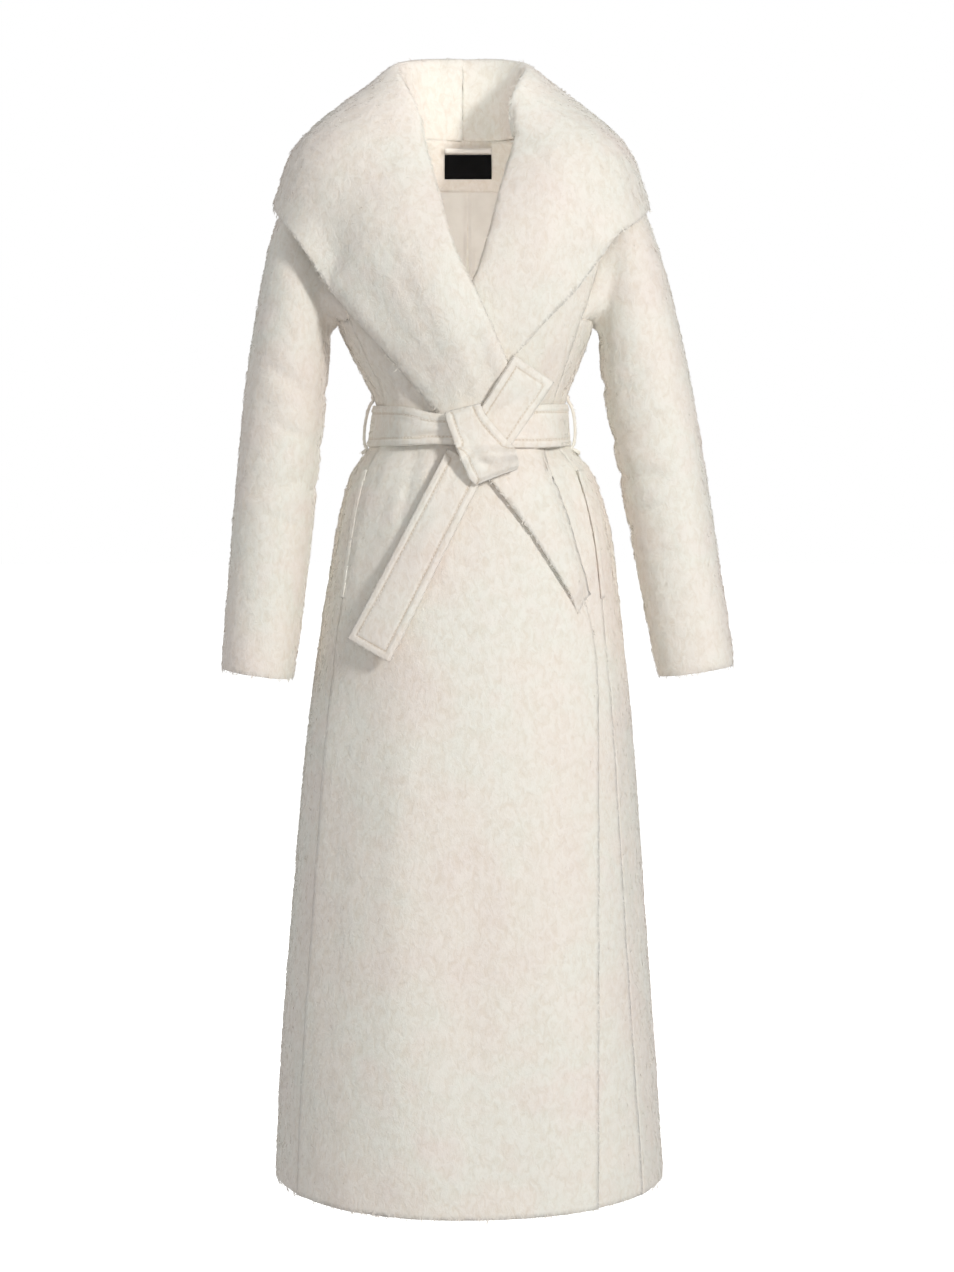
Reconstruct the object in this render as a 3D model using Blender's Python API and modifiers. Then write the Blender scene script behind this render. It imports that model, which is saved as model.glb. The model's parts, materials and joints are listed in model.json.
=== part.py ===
"""A long wrap coat, filled out as on a general figure, with a wide shawl collar and a tied belt.

Frame: metres, +Z up, front towards -Y, the wearer's right towards -X. The origin is the middle of the
neck at the height of the shoulders, where a wearer holds the coat up.

Each panel is an open surface through sections of one body form, and Solidify gives it the cloth's
thickness outwards, so that panels sewn edge to edge share their seam lines. What lies on a panel is
made from the same form, moved out by the layers beneath it.
"""

import math

import bmesh
import bpy
from mathutils import Vector

# ---------------------------------------------------------------- driving dimensions (metres, degrees)
CLOTH = 0.003  # one layer of coat cloth with its short nap pressed down
DOUBLE_CLOTH = 0.0048  # collar: facing and under-collar together
LINING = 0.0012
SEAM_GAP = 0.0003  # between pieces that are sewn edge to edge
LAYER_GAP = 0.002  # air between cloth that lies on cloth
LINING_GAP = 0.0016  # air between the back and what lines it

HEM_Z = -1.245
HEM_RISE = 0.011  # the hem's sides above its front and back
UNDERARM_Z = -0.207
NECKLINE_Z = 0.010
SIDE_FRONT_SEAM = 60.0  # angle from the middle of the front
SIDE_BACK_SEAM = 122.0
OVERLAP_X = 0.1485  # the right front's straight edge in the skirt
UNDERLAP_X = -0.060  # the left front's hidden edge

BELT_WIDTH = 0.049
BELT_THICKNESS = 0.004
BELT_MIDDLE_Z = -0.331
BELT_SPACES = 40  # stretches round the waist
PRESSED_ABOVE = 0.014  # how far past its edges the belt holds the lapel down
PRESSED_BELOW = 0.014
POCKET_TOP_Z = -0.386
POCKET_BOTTOM_Z = -0.534
WELT_WIDTH = 0.008
FACING_LOWER_Z = -0.043
LINING_LOWER_Z = -0.300
LABEL_WIDTH = 0.058
LABEL_HEIGHT = 0.028

# Body form: z, reach to the wearer's right and left, depth in front and behind, squareness.
BODY_SECTIONS = (
    (HEM_Z, 0.2285, 0.2345, 0.198, 0.182, 2.15),
    (-1.097, 0.2225, 0.2245, 0.188, 0.174, 2.15),
    (-0.951, 0.2115, 0.2140, 0.177, 0.165, 2.15),
    (-0.805, 0.1995, 0.2030, 0.164, 0.154, 2.15),
    (-0.709, 0.1920, 0.1965, 0.154, 0.147, 2.15),
    (-0.636, 0.1822, 0.1894, 0.146, 0.141, 2.15),
    (-0.540, 0.1687, 0.1785, 0.134, 0.132, 2.15),
    (-0.492, 0.1605, 0.1743, 0.128, 0.127, 2.15),
    (-0.444, 0.1530, 0.1660, 0.121, 0.119, 2.15),
    (-0.408, 0.1445, 0.1545, 0.114, 0.111, 2.15),
    (-0.372, 0.1290, 0.1395, 0.104, 0.101, 2.10),
    (-0.359, 0.1135, 0.1155, 0.095, 0.086, 2.05),
    (-0.306, 0.1055, 0.1115, 0.095, 0.086, 2.05),
    (-0.276, 0.1215, 0.1235, 0.102, 0.092, 2.10),
    (-0.240, 0.1400, 0.1380, 0.111, 0.101, 2.15),
    (-0.207, 0.1560, 0.1490, 0.118, 0.107, 2.20),
    (-0.160, 0.1650, 0.1600, 0.119, 0.112, 2.25),
    (-0.110, 0.1730, 0.1680, 0.110, 0.112, 2.30),
    (-0.065, 0.1790, 0.1740, 0.092, 0.104, 2.30),
    (-0.030, 0.1800, 0.1750, 0.072, 0.090, 2.15),
    (-0.014, 0.1350, 0.1320, 0.062, 0.081, 2.05),
    (0.000, 0.1000, 0.0980, 0.056, 0.074, 2.00),
    (0.012, 0.0780, 0.0760, 0.050, 0.066, 2.00),
)
# Soft vertical folds of the skirt: angle, half-width in degrees, depth at the hem, z where each starts.
SKIRT_FOLDS = (
    (-152.0, 13.0, 0.013, -0.40),
    (-118.0, 11.0, -0.008, -0.50),
    (-92.0, 9.0, 0.005, -0.55),
    (176.0, 15.0, -0.010, -0.42),
    (147.0, 12.0, 0.014, -0.38),
    (112.0, 10.0, 0.006, -0.50),
    (-34.0, 10.0, 0.004, -0.60),
    (12.0, 12.0, -0.004, -0.70),
)
# Armhole edge of the fronts, and of the back: z, angle from the middle of the front.
ARMHOLE_FRONT = (
    (UNDERARM_Z, SIDE_FRONT_SEAM),
    (-0.160, 66.0),
    (-0.110, 72.0),
    (-0.065, 80.0),
    (-0.030, 89.0),
    (NECKLINE_Z, 89.8),
)
ARMHOLE_BACK = (
    (UNDERARM_Z, SIDE_BACK_SEAM),
    (-0.160, 115.0),
    (-0.110, 108.0),
    (-0.065, 100.0),
    (-0.030, 91.0),
    (NECKLINE_Z, 90.2),
)
# Front edges as seen from the front: z, x. The fold of each lapel runs just outside its front's edge.
RIGHT_FRONT_EDGE = (
    (HEM_Z, OVERLAP_X),
    (-0.600, OVERLAP_X),
    (-0.575, 0.1450),
    (-0.546, 0.1370),
    (-0.504, 0.1205),
    (-0.449, 0.1035),
    (-0.401, 0.0800),
    (-0.356, 0.0685),
    (-0.303, 0.0495),
    (-0.254, 0.0300),
    (-0.193, 0.0080),
    (-0.168, -0.0065),
    (-0.118, -0.0240),
    (-0.063, -0.0420),
    (-0.012, -0.0560),
    (0.000, -0.0650),
    (NECKLINE_Z, -0.0760),
)
LEFT_FRONT_EDGE = (
    (HEM_Z, UNDERLAP_X),
    (-0.300, UNDERLAP_X),
    (-0.255, -0.0280),
    (-0.211, -0.0080),
    (-0.169, 0.0120),
    (-0.121, 0.0285),
    (-0.041, 0.0515),
    (-0.012, 0.0580),
    (0.000, 0.0640),
    (NECKLINE_Z, 0.0745),
)
STEEPEST = 3.0  # most that a stand-off is stretched where the form turns away from the front
PANEL_ROWS = (
    HEM_Z, -1.150, -1.040, -0.930, -0.820, -0.720, -0.636, -0.570, -0.520, -0.475, -0.435, -0.405,
    -0.380, -0.358, -0.331, -0.306, -0.285, -0.262, -0.236, UNDERARM_Z, -0.178, -0.145, -0.110, -0.080,
    -0.052, -0.030, -0.020, -0.009, 0.001, NECKLINE_Z,
)  # fmt: skip

# Collar half from the centre back to the side of the neck, measured outwards from its middle line:
# seam on the neckline, fold, shoulder of the fall, outer edge.
COLLAR_MIDDLE_X = -0.0080
COLLAR_SECTIONS = (
    ((0.0000, 0.0645, 0.0140), (0.0000, 0.0800, 0.1180), (0.0000, 0.1200, 0.0300), (0.0000, 0.1330, -0.0850)),
    ((0.0380, 0.0570, 0.0140), (0.0400, 0.0740, 0.1175), (0.0560, 0.1140, 0.0320), (0.0800, 0.1290, -0.0870)),
    ((0.0640, 0.0310, 0.0145), (0.0700, 0.0420, 0.1090), (0.1240, 0.0800, 0.0290), (0.1600, 0.1000, -0.0830)),
    ((0.0695, -0.0020, 0.0165), (0.0770, 0.0060, 0.0960), (0.1940, 0.0180, 0.0100), (0.2235, 0.0240, -0.0640)),
    ((0.0580, -0.0420, 0.0095), (0.0610, -0.0330, 0.0650), (0.1710, -0.0680, -0.0040), (0.2095, -0.0520, -0.0920)),
)  # fmt: skip
COLLAR_STEPS = (3, 1, 3, 3)  # spaces between seam, fold, past the fold, shoulder and outer edge
COLLAR_SEAM_GAP = 0.001
LAPEL_STEPS = 3  # spaces between two rows of a lapel's table
FOLD_WIDTH = 0.010  # from the top of the fold to the fall behind it
FOLD_DROP = 0.007

# Lapels as seen from the front: x, z of the fold and of the outer edge, height of the roll over the
# front's edge, how far the middle stands off, how far the outer edge stands off.
RIGHT_LAPEL = (
    (-0.0562, 0.0150, -0.1957, -0.1190, 0.010, 0.022, 0.016),
    (-0.0465, -0.0180, -0.1570, -0.1756, 0.009, 0.024, 0.014),
    (-0.0322, -0.0633, -0.1173, -0.2200, 0.009, 0.020, 0.008),
    (-0.0147, -0.1180, -0.0779, -0.2630, 0.009, 0.014, 0.004),
    (0.0027, -0.1684, -0.0342, -0.3180, 0.009, 0.010, 0.001),
    (0.0260, -0.2300, -0.0031, -0.3572, 0.009, 0.006, 0.0015),
    (0.0605, -0.3030, 0.0282, -0.3976, 0.007, 0.001, 0.0020),
    (0.0838, -0.3560, 0.0524, -0.4276, 0.006, 0.001, 0.0015),
    (0.0976, -0.4011, 0.0755, -0.4590, 0.007, 0.002, 0.000),
    (0.1151, -0.4486, 0.0975, -0.4925, 0.007, 0.002, 0.000),
    (0.1302, -0.5042, 0.1170, -0.5240, 0.006, 0.001, 0.000),
    (0.1420, -0.5330, 0.1330, -0.5510, 0.006, 0.000, 0.000),
)
LEFT_LAPEL = (
    (0.0590, 0.0200, 0.1740, -0.1080, 0.010, 0.022, 0.016),
    (0.0560, -0.0020, 0.1457, -0.1435, 0.009, 0.022, 0.012),
    (0.0422, -0.0409, 0.1210, -0.1750, 0.009, 0.016, 0.006),
    (0.0189, -0.1206, 0.0830, -0.2160, 0.008, 0.006, 0.001),
    (0.0027, -0.1692, 0.0512, -0.2534, 0.006, 0.001, 0.000),
    (-0.0181, -0.2106, 0.0270, -0.2610, 0.006, 0.000, 0.000),
    (-0.0270, -0.2300, 0.0080, -0.2640, 0.006, 0.000, 0.000),
)

# Sleeves: x and z of the inner side, x and z of the outer side, y of the middle, half-depth.
RIGHT_SLEEVE = (
    (-0.1650, -0.2180, -0.2060, -0.0360, 0.006, 0.060),
    (-0.1650, -0.2270, -0.2220, -0.0700, 0.005, 0.066),
    (-0.1655, -0.2450, -0.2395, -0.1180, 0.004, 0.070),
    (-0.1670, -0.2750, -0.2490, -0.1750, 0.003, 0.070),
    (-0.1715, -0.3200, -0.2610, -0.2450, 0.001, 0.067),
    (-0.1775, -0.3750, -0.2710, -0.3250, -0.002, 0.064),
    (-0.1845, -0.4400, -0.2790, -0.4150, -0.006, 0.061),
    (-0.1920, -0.5100, -0.2850, -0.4950, -0.012, 0.057),
    (-0.2000, -0.5750, -0.2910, -0.5640, -0.018, 0.054),
    (-0.2085, -0.6320, -0.2940, -0.6200, -0.024, 0.052),
)
LEFT_SLEEVE = (
    (0.1580, -0.2180, 0.1940, -0.0360, 0.006, 0.060),
    (0.1570, -0.2270, 0.2080, -0.0700, 0.005, 0.066),
    (0.1575, -0.2450, 0.2280, -0.1180, 0.004, 0.071),
    (0.1590, -0.2750, 0.2440, -0.1750, 0.003, 0.072),
    (0.1670, -0.3200, 0.2600, -0.2450, 0.001, 0.070),
    (0.1780, -0.3750, 0.2750, -0.3250, -0.002, 0.066),
    (0.1900, -0.4400, 0.2890, -0.4150, -0.006, 0.063),
    (0.2040, -0.5100, 0.3010, -0.4950, -0.012, 0.059),
    (0.2150, -0.5750, 0.3120, -0.5620, -0.018, 0.056),
    (0.2270, -0.6290, 0.3180, -0.6150, -0.024, 0.053),
)
SLEEVE_SQUARENESS = 2.15

# Edges of the belt round the waist: x, z of the lower and the upper edge across the front.
BELT_EDGES = (
    (-0.112, -0.3560, -0.3080),
    (-0.060, -0.3550, -0.3110),
    (-0.034, -0.3530, -0.3190),
    (0.030, -0.3570, -0.3190),
    (0.060, -0.3575, -0.3085),
    (0.112, -0.3550, -0.3065),
)
# Strips of the tied belt: x, stand-off from the coat's front, z, half-width of each station.
TAIL_UPPER = (
    (0.0365, 0.0285, -0.3275, 0.0257),
    (0.0465, 0.0300, -0.3125, 0.0260),
    (0.0565, 0.0300, -0.2975, 0.0263),
    (0.0665, 0.0285, -0.2825, 0.0266),
    (0.0765, 0.0255, -0.2672, 0.0268),
)
TAIL_LOWER = (
    (-0.0010, 0.0190, -0.3720, 0.0245),
    (-0.0120, 0.0215, -0.3930, 0.0250),
    (-0.0270, 0.0210, -0.4220, 0.0250),
    (-0.0460, 0.0170, -0.4590, 0.0252),
    (-0.0665, 0.0150, -0.4990, 0.0255),
    (-0.0895, 0.0155, -0.5440, 0.0260),
    (-0.1150, 0.0180, -0.5920, 0.0265),
)
KNOT = (
    (-0.0035, 0.0290, -0.3150, 0.0215),
    (-0.0040, 0.0340, -0.3095, 0.0225),
    (-0.0020, 0.0390, -0.3180, 0.0232),
    (0.0050, 0.0420, -0.3370, 0.0240),
    (0.0120, 0.0420, -0.3560, 0.0240),
    (0.0190, 0.0380, -0.3750, 0.0235),
    (0.0250, 0.0320, -0.3920, 0.0220),
    (0.0270, 0.0265, -0.3960, 0.0205),
)
KNOT_DIRECTION = (0.36, -0.93)  # the way the wrapped strip runs, in x and z

MATERIALS = {
    "coat_cloth": ((0.80, 0.77, 0.71), 0.95),
    "belt_cloth": ((0.78, 0.75, 0.69), 0.95),
    "lining": ((0.74, 0.68, 0.63), 0.45),
    "label": ((0.012, 0.012, 0.013), 0.60),
}


# ---------------------------------------------------------------- small helpers
def smooth(table, at, column=1):
    """A value between a table's rows, along a smooth curve that never swings past them."""
    if at <= table[0][0]:
        return table[0][column]
    if at >= table[-1][0]:
        return table[-1][column]
    index = next(i for i in range(len(table) - 1) if at <= table[i + 1][0])

    def rise(i):
        return (table[i + 1][column] - table[i][column]) / (table[i + 1][0] - table[i][0])

    def slope(i):
        if i == 0 or i == len(table) - 1:
            return rise(min(i, len(table) - 2))
        before, after = rise(i - 1), rise(i)
        return 2 * before * after / (before + after) if before * after > 0 else 0.0

    width = table[index + 1][0] - table[index][0]
    t = (at - table[index][0]) / width
    start, end = table[index][column], table[index + 1][column]
    blend = t * t * (3 - 2 * t)
    bend = t * (1 - t) ** 2 * slope(index) - t * t * (1 - t) * slope(index + 1)
    return start + (end - start) * blend + bend * width


def ramp(value, low, high):
    """0 below low, 1 above high, soft in between."""
    t = min(max((value - low) / (high - low), 0.0), 1.0)
    return t * t * (3 - 2 * t)


def curve_through(points, counts):
    """Points along a soft curve through the given points, with counts[i] steps after point i."""
    tangents = []
    for i, point in enumerate(points):
        before = points[max(i - 1, 0)]
        after = points[min(i + 1, len(points) - 1)]
        tangents.append((after - before).normalized())
    found = [points[0].copy()]
    for i, count in enumerate(counts):
        start, end = points[i], points[i + 1]
        length = (end - start).length
        for step in range(1, count + 1):
            t = step / count
            found.append(
                start * (2 * t**3 - 3 * t**2 + 1)
                + tangents[i] * (length * (t**3 - 2 * t**2 + t))
                + end * (3 * t**2 - 2 * t**3)
                + tangents[i + 1] * (length * (t**3 - t**2))
            )
    return found


def loft_rows(rows, steps):
    """More sections between the given ones, each point following a soft curve from row to row."""
    lines = [curve_through(list(line), [steps] * (len(rows) - 1)) for line in zip(*rows)]
    return [list(row) for row in zip(*lines)]


# ---------------------------------------------------------------- the body form
def fold_swell(angle, z):
    """How much the skirt's folds swell or draw in the form at this place, as a share of its size."""
    swell = 0.0
    for middle, spread, depth, start_z in SKIRT_FOLDS:
        away = (angle - middle + 180.0) % 360.0 - 180.0
        down = ramp(-z, -start_z, -HEM_Z) ** 0.8
        swell += depth / 0.2 * down * math.exp(-((away / spread) ** 2))
    return swell


def form_point(angle, z):
    """Inner face of the panels. The angle runs from the middle of the front towards the wearer's left."""
    sine, cosine = math.sin(math.radians(angle)), math.cos(math.radians(angle))
    reach = smooth(BODY_SECTIONS, z, 2 if sine > 0 else 1)
    depth = smooth(BODY_SECTIONS, z, 3 if cosine > 0 else 4)
    power = 2 / smooth(BODY_SECTIONS, z, 5)
    swell = 1 + fold_swell(angle, z)
    x = math.copysign(abs(sine) ** power, sine) * reach * swell
    y = -math.copysign(abs(cosine) ** power, cosine) * depth * swell
    return Vector((x, y, z))


def body_point(angle, z, out=0.0):
    """A point of the form, moved out along its normal."""
    near = min(max(z, HEM_Z + 0.002), NECKLINE_Z - 0.001)
    along = form_point(angle + 0.5, near) - form_point(angle - 0.5, near)
    up = form_point(angle, near + 0.002) - form_point(angle, near - 0.002)
    return form_point(angle, z) + along.cross(up).normalized() * out


def front_angle(x, z):
    """The angle at which the form's front has this x."""
    reach = smooth(BODY_SECTIONS, z, 2 if x > 0 else 1)
    power = smooth(BODY_SECTIONS, z, 5) / 2
    return math.degrees(math.asin(math.copysign(min(abs(x) / reach, 0.9999) ** power, x)))


def front_y(x, z):
    """The form's front at this x, held near the front past the body's sides."""
    widest = 0.86 * smooth(BODY_SECTIONS, z, 2 if x > 0 else 1)
    held = min(max(x, -widest), widest)
    return form_point(front_angle(held, z), z).y


def standing_off(x, z, height):
    """The point in front of the form with this x and z that is this far off its surface."""
    held = min(max(z, HEM_Z + 0.002), NECKLINE_Z - 0.003)
    slope_x = (front_y(x + 0.002, held) - front_y(x - 0.002, held)) / 0.004
    slope_z = (front_y(x, held + 0.002) - front_y(x, held - 0.002)) / 0.004
    steepness = min(math.sqrt(1 + slope_x**2 + slope_z**2), STEEPEST)
    return Vector((x, front_y(x, z) - height * steepness, z))


def cloth_y(x, z, height):
    """Where a surface this far off the form stands at this x, in front."""
    low, high = -89.0, 89.0
    for _ in range(16):
        angle = (low + high) / 2
        if body_point(angle, z, height).x < x:
            low = angle
        else:
            high = angle
    return body_point(angle, z, height).y


def right_front_level(x, z):
    """How far the right front's inner face stands off the form, over the left front and its lapel."""
    over_front = ramp(x, -0.115, -0.070)
    over_lapel = ramp(x, -0.085, -0.040) * ramp(z, -0.298, -0.262) * ramp(-z, 0.060, 0.130)
    return over_front * (CLOTH + LAYER_GAP) + over_lapel * (DOUBLE_CLOTH + LAYER_GAP + 0.0026)


def no_level(x, z):
    return 0.0


# ---------------------------------------------------------------- building objects
def material_of(name):
    """The named cloth as a Principled material."""
    found = bpy.data.materials.get(name)
    if found:
        return found
    colour, roughness = MATERIALS[name]
    made = bpy.data.materials.new(name)
    made.use_nodes = True
    shader = made.node_tree.nodes["Principled BSDF"]
    shader.inputs["Base Color"].default_value = (*colour, 1.0)
    shader.inputs["Roughness"].default_value = roughness
    shader.inputs["Metallic"].default_value = 0.0
    return made


def cloth_object(name, rows, material, thickness, outwards=1.0, closed=False):
    """A wall of cloth from a grid of points, with each row running the same way round.

    outwards is Solidify's offset: 1 adds the thickness on the outer side, 0 on both sides.
    """
    mesh = bpy.data.meshes.new(name)
    shape = bmesh.new()
    grid = [[shape.verts.new(point) for point in row] for row in rows]
    columns = len(rows[0])
    for lower, upper in zip(grid, grid[1:]):
        for i in range(columns if closed else columns - 1):
            k = (i + 1) % columns
            shape.faces.new((lower[i], lower[k], upper[k], upper[i]))
    shape.to_mesh(mesh)
    shape.free()
    mesh.shade_smooth()
    made = bpy.data.objects.new(name, mesh)
    made.data.materials.append(material_of(material))
    wall = made.modifiers.new("cloth", "SOLIDIFY")
    wall.thickness = thickness
    wall.offset = outwards
    coat.objects.link(made)
    return made


def inset_ends(row, gap):
    """The row with its two ends drawn in by half of a seam's gap."""
    first = row[0] + (row[1] - row[0]).normalized() * (gap / 2)
    last = row[-1] + (row[-2] - row[-1]).normalized() * (gap / 2)
    return [first, *row[1:-1], last]


def panel(name, levels, start_angle, end_angle, columns, level=no_level):
    """A body panel between two edges, each given as an angle for every z."""
    rows = []
    for z in levels:
        start, end = start_angle(z), end_angle(z)
        row = []
        for i in range(columns + 1):
            angle = start + (end - start) * i / columns
            height = z + HEM_RISE * math.sin(math.radians(angle)) ** 2 * ramp(-z, 1.0, -HEM_Z)
            out = level(form_point(angle, height).x, height)
            row.append(body_point(angle, height, out))
        rows.append(inset_ends(row, SEAM_GAP))
    return cloth_object(name, rows, "coat_cloth", CLOTH)


# ---------------------------------------------------------------- panels
def front_seam(z):
    return smooth(ARMHOLE_FRONT, z)


def back_seam(z):
    return smooth(ARMHOLE_BACK, z)


def right_front_edge(z):
    return front_angle(smooth(RIGHT_FRONT_EDGE, z), z)


def left_front_edge(z):
    return front_angle(smooth(LEFT_FRONT_EDGE, z), z)


def make_panels():
    body_rows = PANEL_ROWS
    skirt_rows = [z for z in PANEL_ROWS if z <= UNDERARM_Z]
    panel("front_right", body_rows, lambda z: -front_seam(z), right_front_edge, 14, right_front_level)
    panel("front_left", body_rows, left_front_edge, front_seam, 9)
    panel("side_right", skirt_rows, lambda z: -back_seam(z), lambda z: -front_seam(z), 5)
    panel("side_left", skirt_rows, front_seam, back_seam, 5)
    panel("back", body_rows, back_seam, lambda z: 360.0 - back_seam(z), 14)


# ---------------------------------------------------------------- collar and lapels
def perpendicular(lapel, index, side):
    """Across the lapel's fold, towards its outer edge, as seen from the front."""
    before = lapel[max(index - 1, 0)]
    after = lapel[min(index + 1, len(lapel) - 1)]
    along = Vector((after[0] - before[0], 0.0, after[1] - before[1])).normalized()
    return Vector((along.z, 0.0, -along.x)) * side


def collar_section(row, side):
    """One section of the standing collar, from the neckline seam over the fold to the outer edge."""
    base, fold, shoulder, edge = [
        Vector((COLLAR_MIDDLE_X + side * x, y, z)) for x, y, z in row
    ]
    outward = Vector((fold.x - COLLAR_MIDDLE_X, fold.y, 0.0)).normalized()
    past_fold = fold + outward * FOLD_WIDTH - Vector((0.0, 0.0, FOLD_DROP))
    return curve_through([base, fold, past_fold, shoulder, edge], COLLAR_STEPS)


def lapel_section(lapel, index, side, level):
    """One section of a lapel from the front's edge round the roll to the outer edge: x, stand-off, z."""
    fold_x, fold_z, edge_x, edge_z, roll, puff, edge_lift = lapel[index]
    inward = perpendicular(lapel, index, side) * (DOUBLE_CLOTH / 2)
    fold = Vector((fold_x, 0.0, fold_z)) + inward
    edge = Vector((edge_x, 0.0, edge_z))
    middle = fold.lerp(edge, 0.5)
    start = fold + inward * 1.3
    past_turn = fold + inward * 2.2
    fold_base = level(fold.x, fold.z) + CLOTH / 2
    rest = CLOTH + LAYER_GAP + DOUBLE_CLOTH / 2
    start.y = fold_base
    fold.y = fold_base + roll * 0.45
    past_turn.y = fold_base + roll
    middle.y = level(middle.x, middle.z) + rest + puff
    edge.y = level(edge.x, edge.z) + rest + edge_lift
    return curve_through([start, fold, past_turn, middle, edge], COLLAR_STEPS)


def lapel_rows(lapel, side, level):
    """Sections of the whole lapel, each point set off the form by its own height."""
    sections = loft_rows([lapel_section(lapel, i, side, level) for i in range(len(lapel))], LAPEL_STEPS)
    return [[pressed_by_belt(spot, standing_off(spot.x, spot.z, spot.y)) for spot in row] for row in sections]


def pressed_by_belt(spot, point):
    """The point, held behind the belt where the belt is tied over it, and in front of the coat's front."""
    lower, upper = smooth(BELT_EDGES, spot.x), smooth(BELT_EDGES, spot.x, 2)
    below = lower - PRESSED_BELOW - spot.z
    above = spot.z - upper - PRESSED_ABOVE
    clear = max(below * 1.2, above * 0.6, 0.0)
    if clear > 0.03:
        return point
    level = right_front_level(spot.x, spot.z)
    belt_face = cloth_y(spot.x, min(max(spot.z, lower), upper), belt_level(spot.x, True))
    behind_belt = DOUBLE_CLOTH / 2 + 0.0014
    limit = belt_face + behind_belt - clear
    on_front = level + CLOTH + SEAM_GAP * 7 + clear * 0.18 + DOUBLE_CLOTH / 2
    if spot.y < level + CLOTH:
        on_front = min(on_front, spot.y + 0.0018)
    floor = cloth_y(spot.x, spot.z, on_front)
    return Vector((point.x, min(max(point.y, limit), floor), point.z))


def make_collar(name, side, lapel, level):
    front = lapel_rows(lapel, side, level)
    behind = [collar_section(row, side) for row in COLLAR_SECTIONS]
    rows = loft_rows([*behind, front[0], front[LAPEL_STEPS]], 2)[: 2 * len(behind)] + front
    rows[0] = [point + Vector((side * COLLAR_SEAM_GAP / 2, 0.0, 0.0)) for point in rows[0]]
    if side > 0:
        rows = [row[::-1] for row in rows]
    cloth_object(name, rows, "coat_cloth", DOUBLE_CLOTH, outwards=0.0)


# ---------------------------------------------------------------- sleeves
def armhole_ring(side, count):
    """Points round the armhole, from the shoulder tip down the front and up the back, just outside it."""
    levels = [z for z in PANEL_ROWS if UNDERARM_Z <= z <= -0.030][::-1]
    front = [(front_seam(z), z) for z in levels]
    under = [(front_seam(UNDERARM_Z) + (back_seam(UNDERARM_Z) - front_seam(UNDERARM_Z)) * i / 5, UNDERARM_Z)
             for i in range(1, 5)]  # fmt: skip
    back = [(back_seam(z), z) for z in levels[::-1]]
    outline = [body_point(side * angle, z, CLOTH + LAYER_GAP + 2 * SEAM_GAP) for angle, z in front + under + back]
    lengths = [0.0]
    for start, end in zip(outline, outline[1:] + outline[:1]):
        lengths.append(lengths[-1] + (end - start).length)
    ring = []
    for i in range(count):
        target = lengths[-1] * i / count
        index = max(k for k in range(len(outline)) if lengths[k] <= target)
        share = (target - lengths[index]) / (lengths[index + 1] - lengths[index])
        ring.append(outline[index].lerp(outline[(index + 1) % len(outline)], share))
    return ring


def sleeve_ring(row, count):
    """An oval ring, from its outer side round the front."""
    inner_x, inner_z, outer_x, outer_z, middle_y, half_depth = row
    middle = Vector(((inner_x + outer_x) / 2, middle_y, (inner_z + outer_z) / 2))
    half = Vector(((outer_x - inner_x) / 2, 0.0, (outer_z - inner_z) / 2))
    power = 2 / SLEEVE_SQUARENESS
    ring = []
    for i in range(count):
        turn = 2 * math.pi * i / count
        sine, cosine = math.sin(turn), math.cos(turn)
        ring.append(
            middle
            + half * math.copysign(abs(cosine) ** power, cosine)
            - Vector((0.0, half_depth, 0.0)) * math.copysign(abs(sine) ** power, sine)
        )
    return ring


def make_sleeve(name, side, table):
    count = 18
    rings = [armhole_ring(side, count)] + [sleeve_ring(row, count) for row in table]
    if side < 0:
        rings = [ring[::-1] for ring in rings]
    cloth_object(name, rings[::-1], "coat_cloth", CLOTH, closed=True)


# ---------------------------------------------------------------- inside the neck
def make_inside_neck():
    gap = LINING_GAP
    facing_thickness = LINING * 1.5
    facing_rows = [FACING_LOWER_Z, -0.030, -0.018, -0.006, 0.004, NECKLINE_Z]
    rows = [[body_point(118.0 + 124.0 * i / 12, z, -gap) for i in range(13)] for z in facing_rows]
    cloth_object("back_neck_facing", rows, "coat_cloth", facing_thickness, outwards=-1.0)
    lining_rows = [LINING_LOWER_Z, -0.262, -0.220, -0.175, -0.130, -0.085, FACING_LOWER_Z - SEAM_GAP]
    rows = [[body_point(118.0 + 124.0 * i / 12, z, -gap) for i in range(13)] for z in lining_rows]
    cloth_object("back_lining", rows, "lining", LINING, outwards=-1.0)

    def inside_row(z, half_width, inset, count):
        row = []
        for i in range(count + 1):
            x = half_width - 2 * half_width * i / count
            row.append(body_point(180.0 - front_angle(x, z), z, -inset))
        return row

    label_inset = gap + facing_thickness + SEAM_GAP * 2
    label_levels = (-LABEL_HEIGHT, -0.019, -0.009, 0.000)
    label_rows = [inside_row(z, LABEL_WIDTH / 2, label_inset, 8) for z in label_levels]
    cloth_object("neck_label", label_rows, "label", 0.0008, outwards=-1.0)
    loop_rows = [inside_row(z, 0.030, label_inset + 0.0022, 8) for z in (0.0035, 0.0085)]
    cloth_object("hanger_loop", loop_rows, "lining", 0.0014, outwards=-1.0)


# ---------------------------------------------------------------- belt
def belt_level(x, in_front):
    """How far the belt's inner face stands off the form, over what it is tied round."""
    if not in_front:
        return CLOTH + LAYER_GAP
    over_lapel = ramp(x, -0.085, -0.055) * ramp(-x, -0.112, -0.080)
    over_front = ramp(-x, -0.112, -0.080)
    lapel = over_lapel * (DOUBLE_CLOTH + LAYER_GAP + 0.005)
    return right_front_level(x, BELT_MIDDLE_Z) * over_front + CLOTH + LAYER_GAP + lapel


def belt_edges_in_front(x):
    """Heights of the belt's lower and upper edge across the front."""
    return smooth(BELT_EDGES, x, 1), smooth(BELT_EDGES, x, 2)


def belt_edges_behind(x):
    """Heights of its edges across the back, where they run straight from one side to the other."""
    first, last = BELT_EDGES[0], BELT_EDGES[-1]
    reach = first[0] + (last[0] - first[0]) * ramp(x, first[0], last[0])
    share = ramp(reach, first[0], last[0])
    return first[1] + (last[1] - first[1]) * share, first[2] + (last[2] - first[2]) * share


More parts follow.
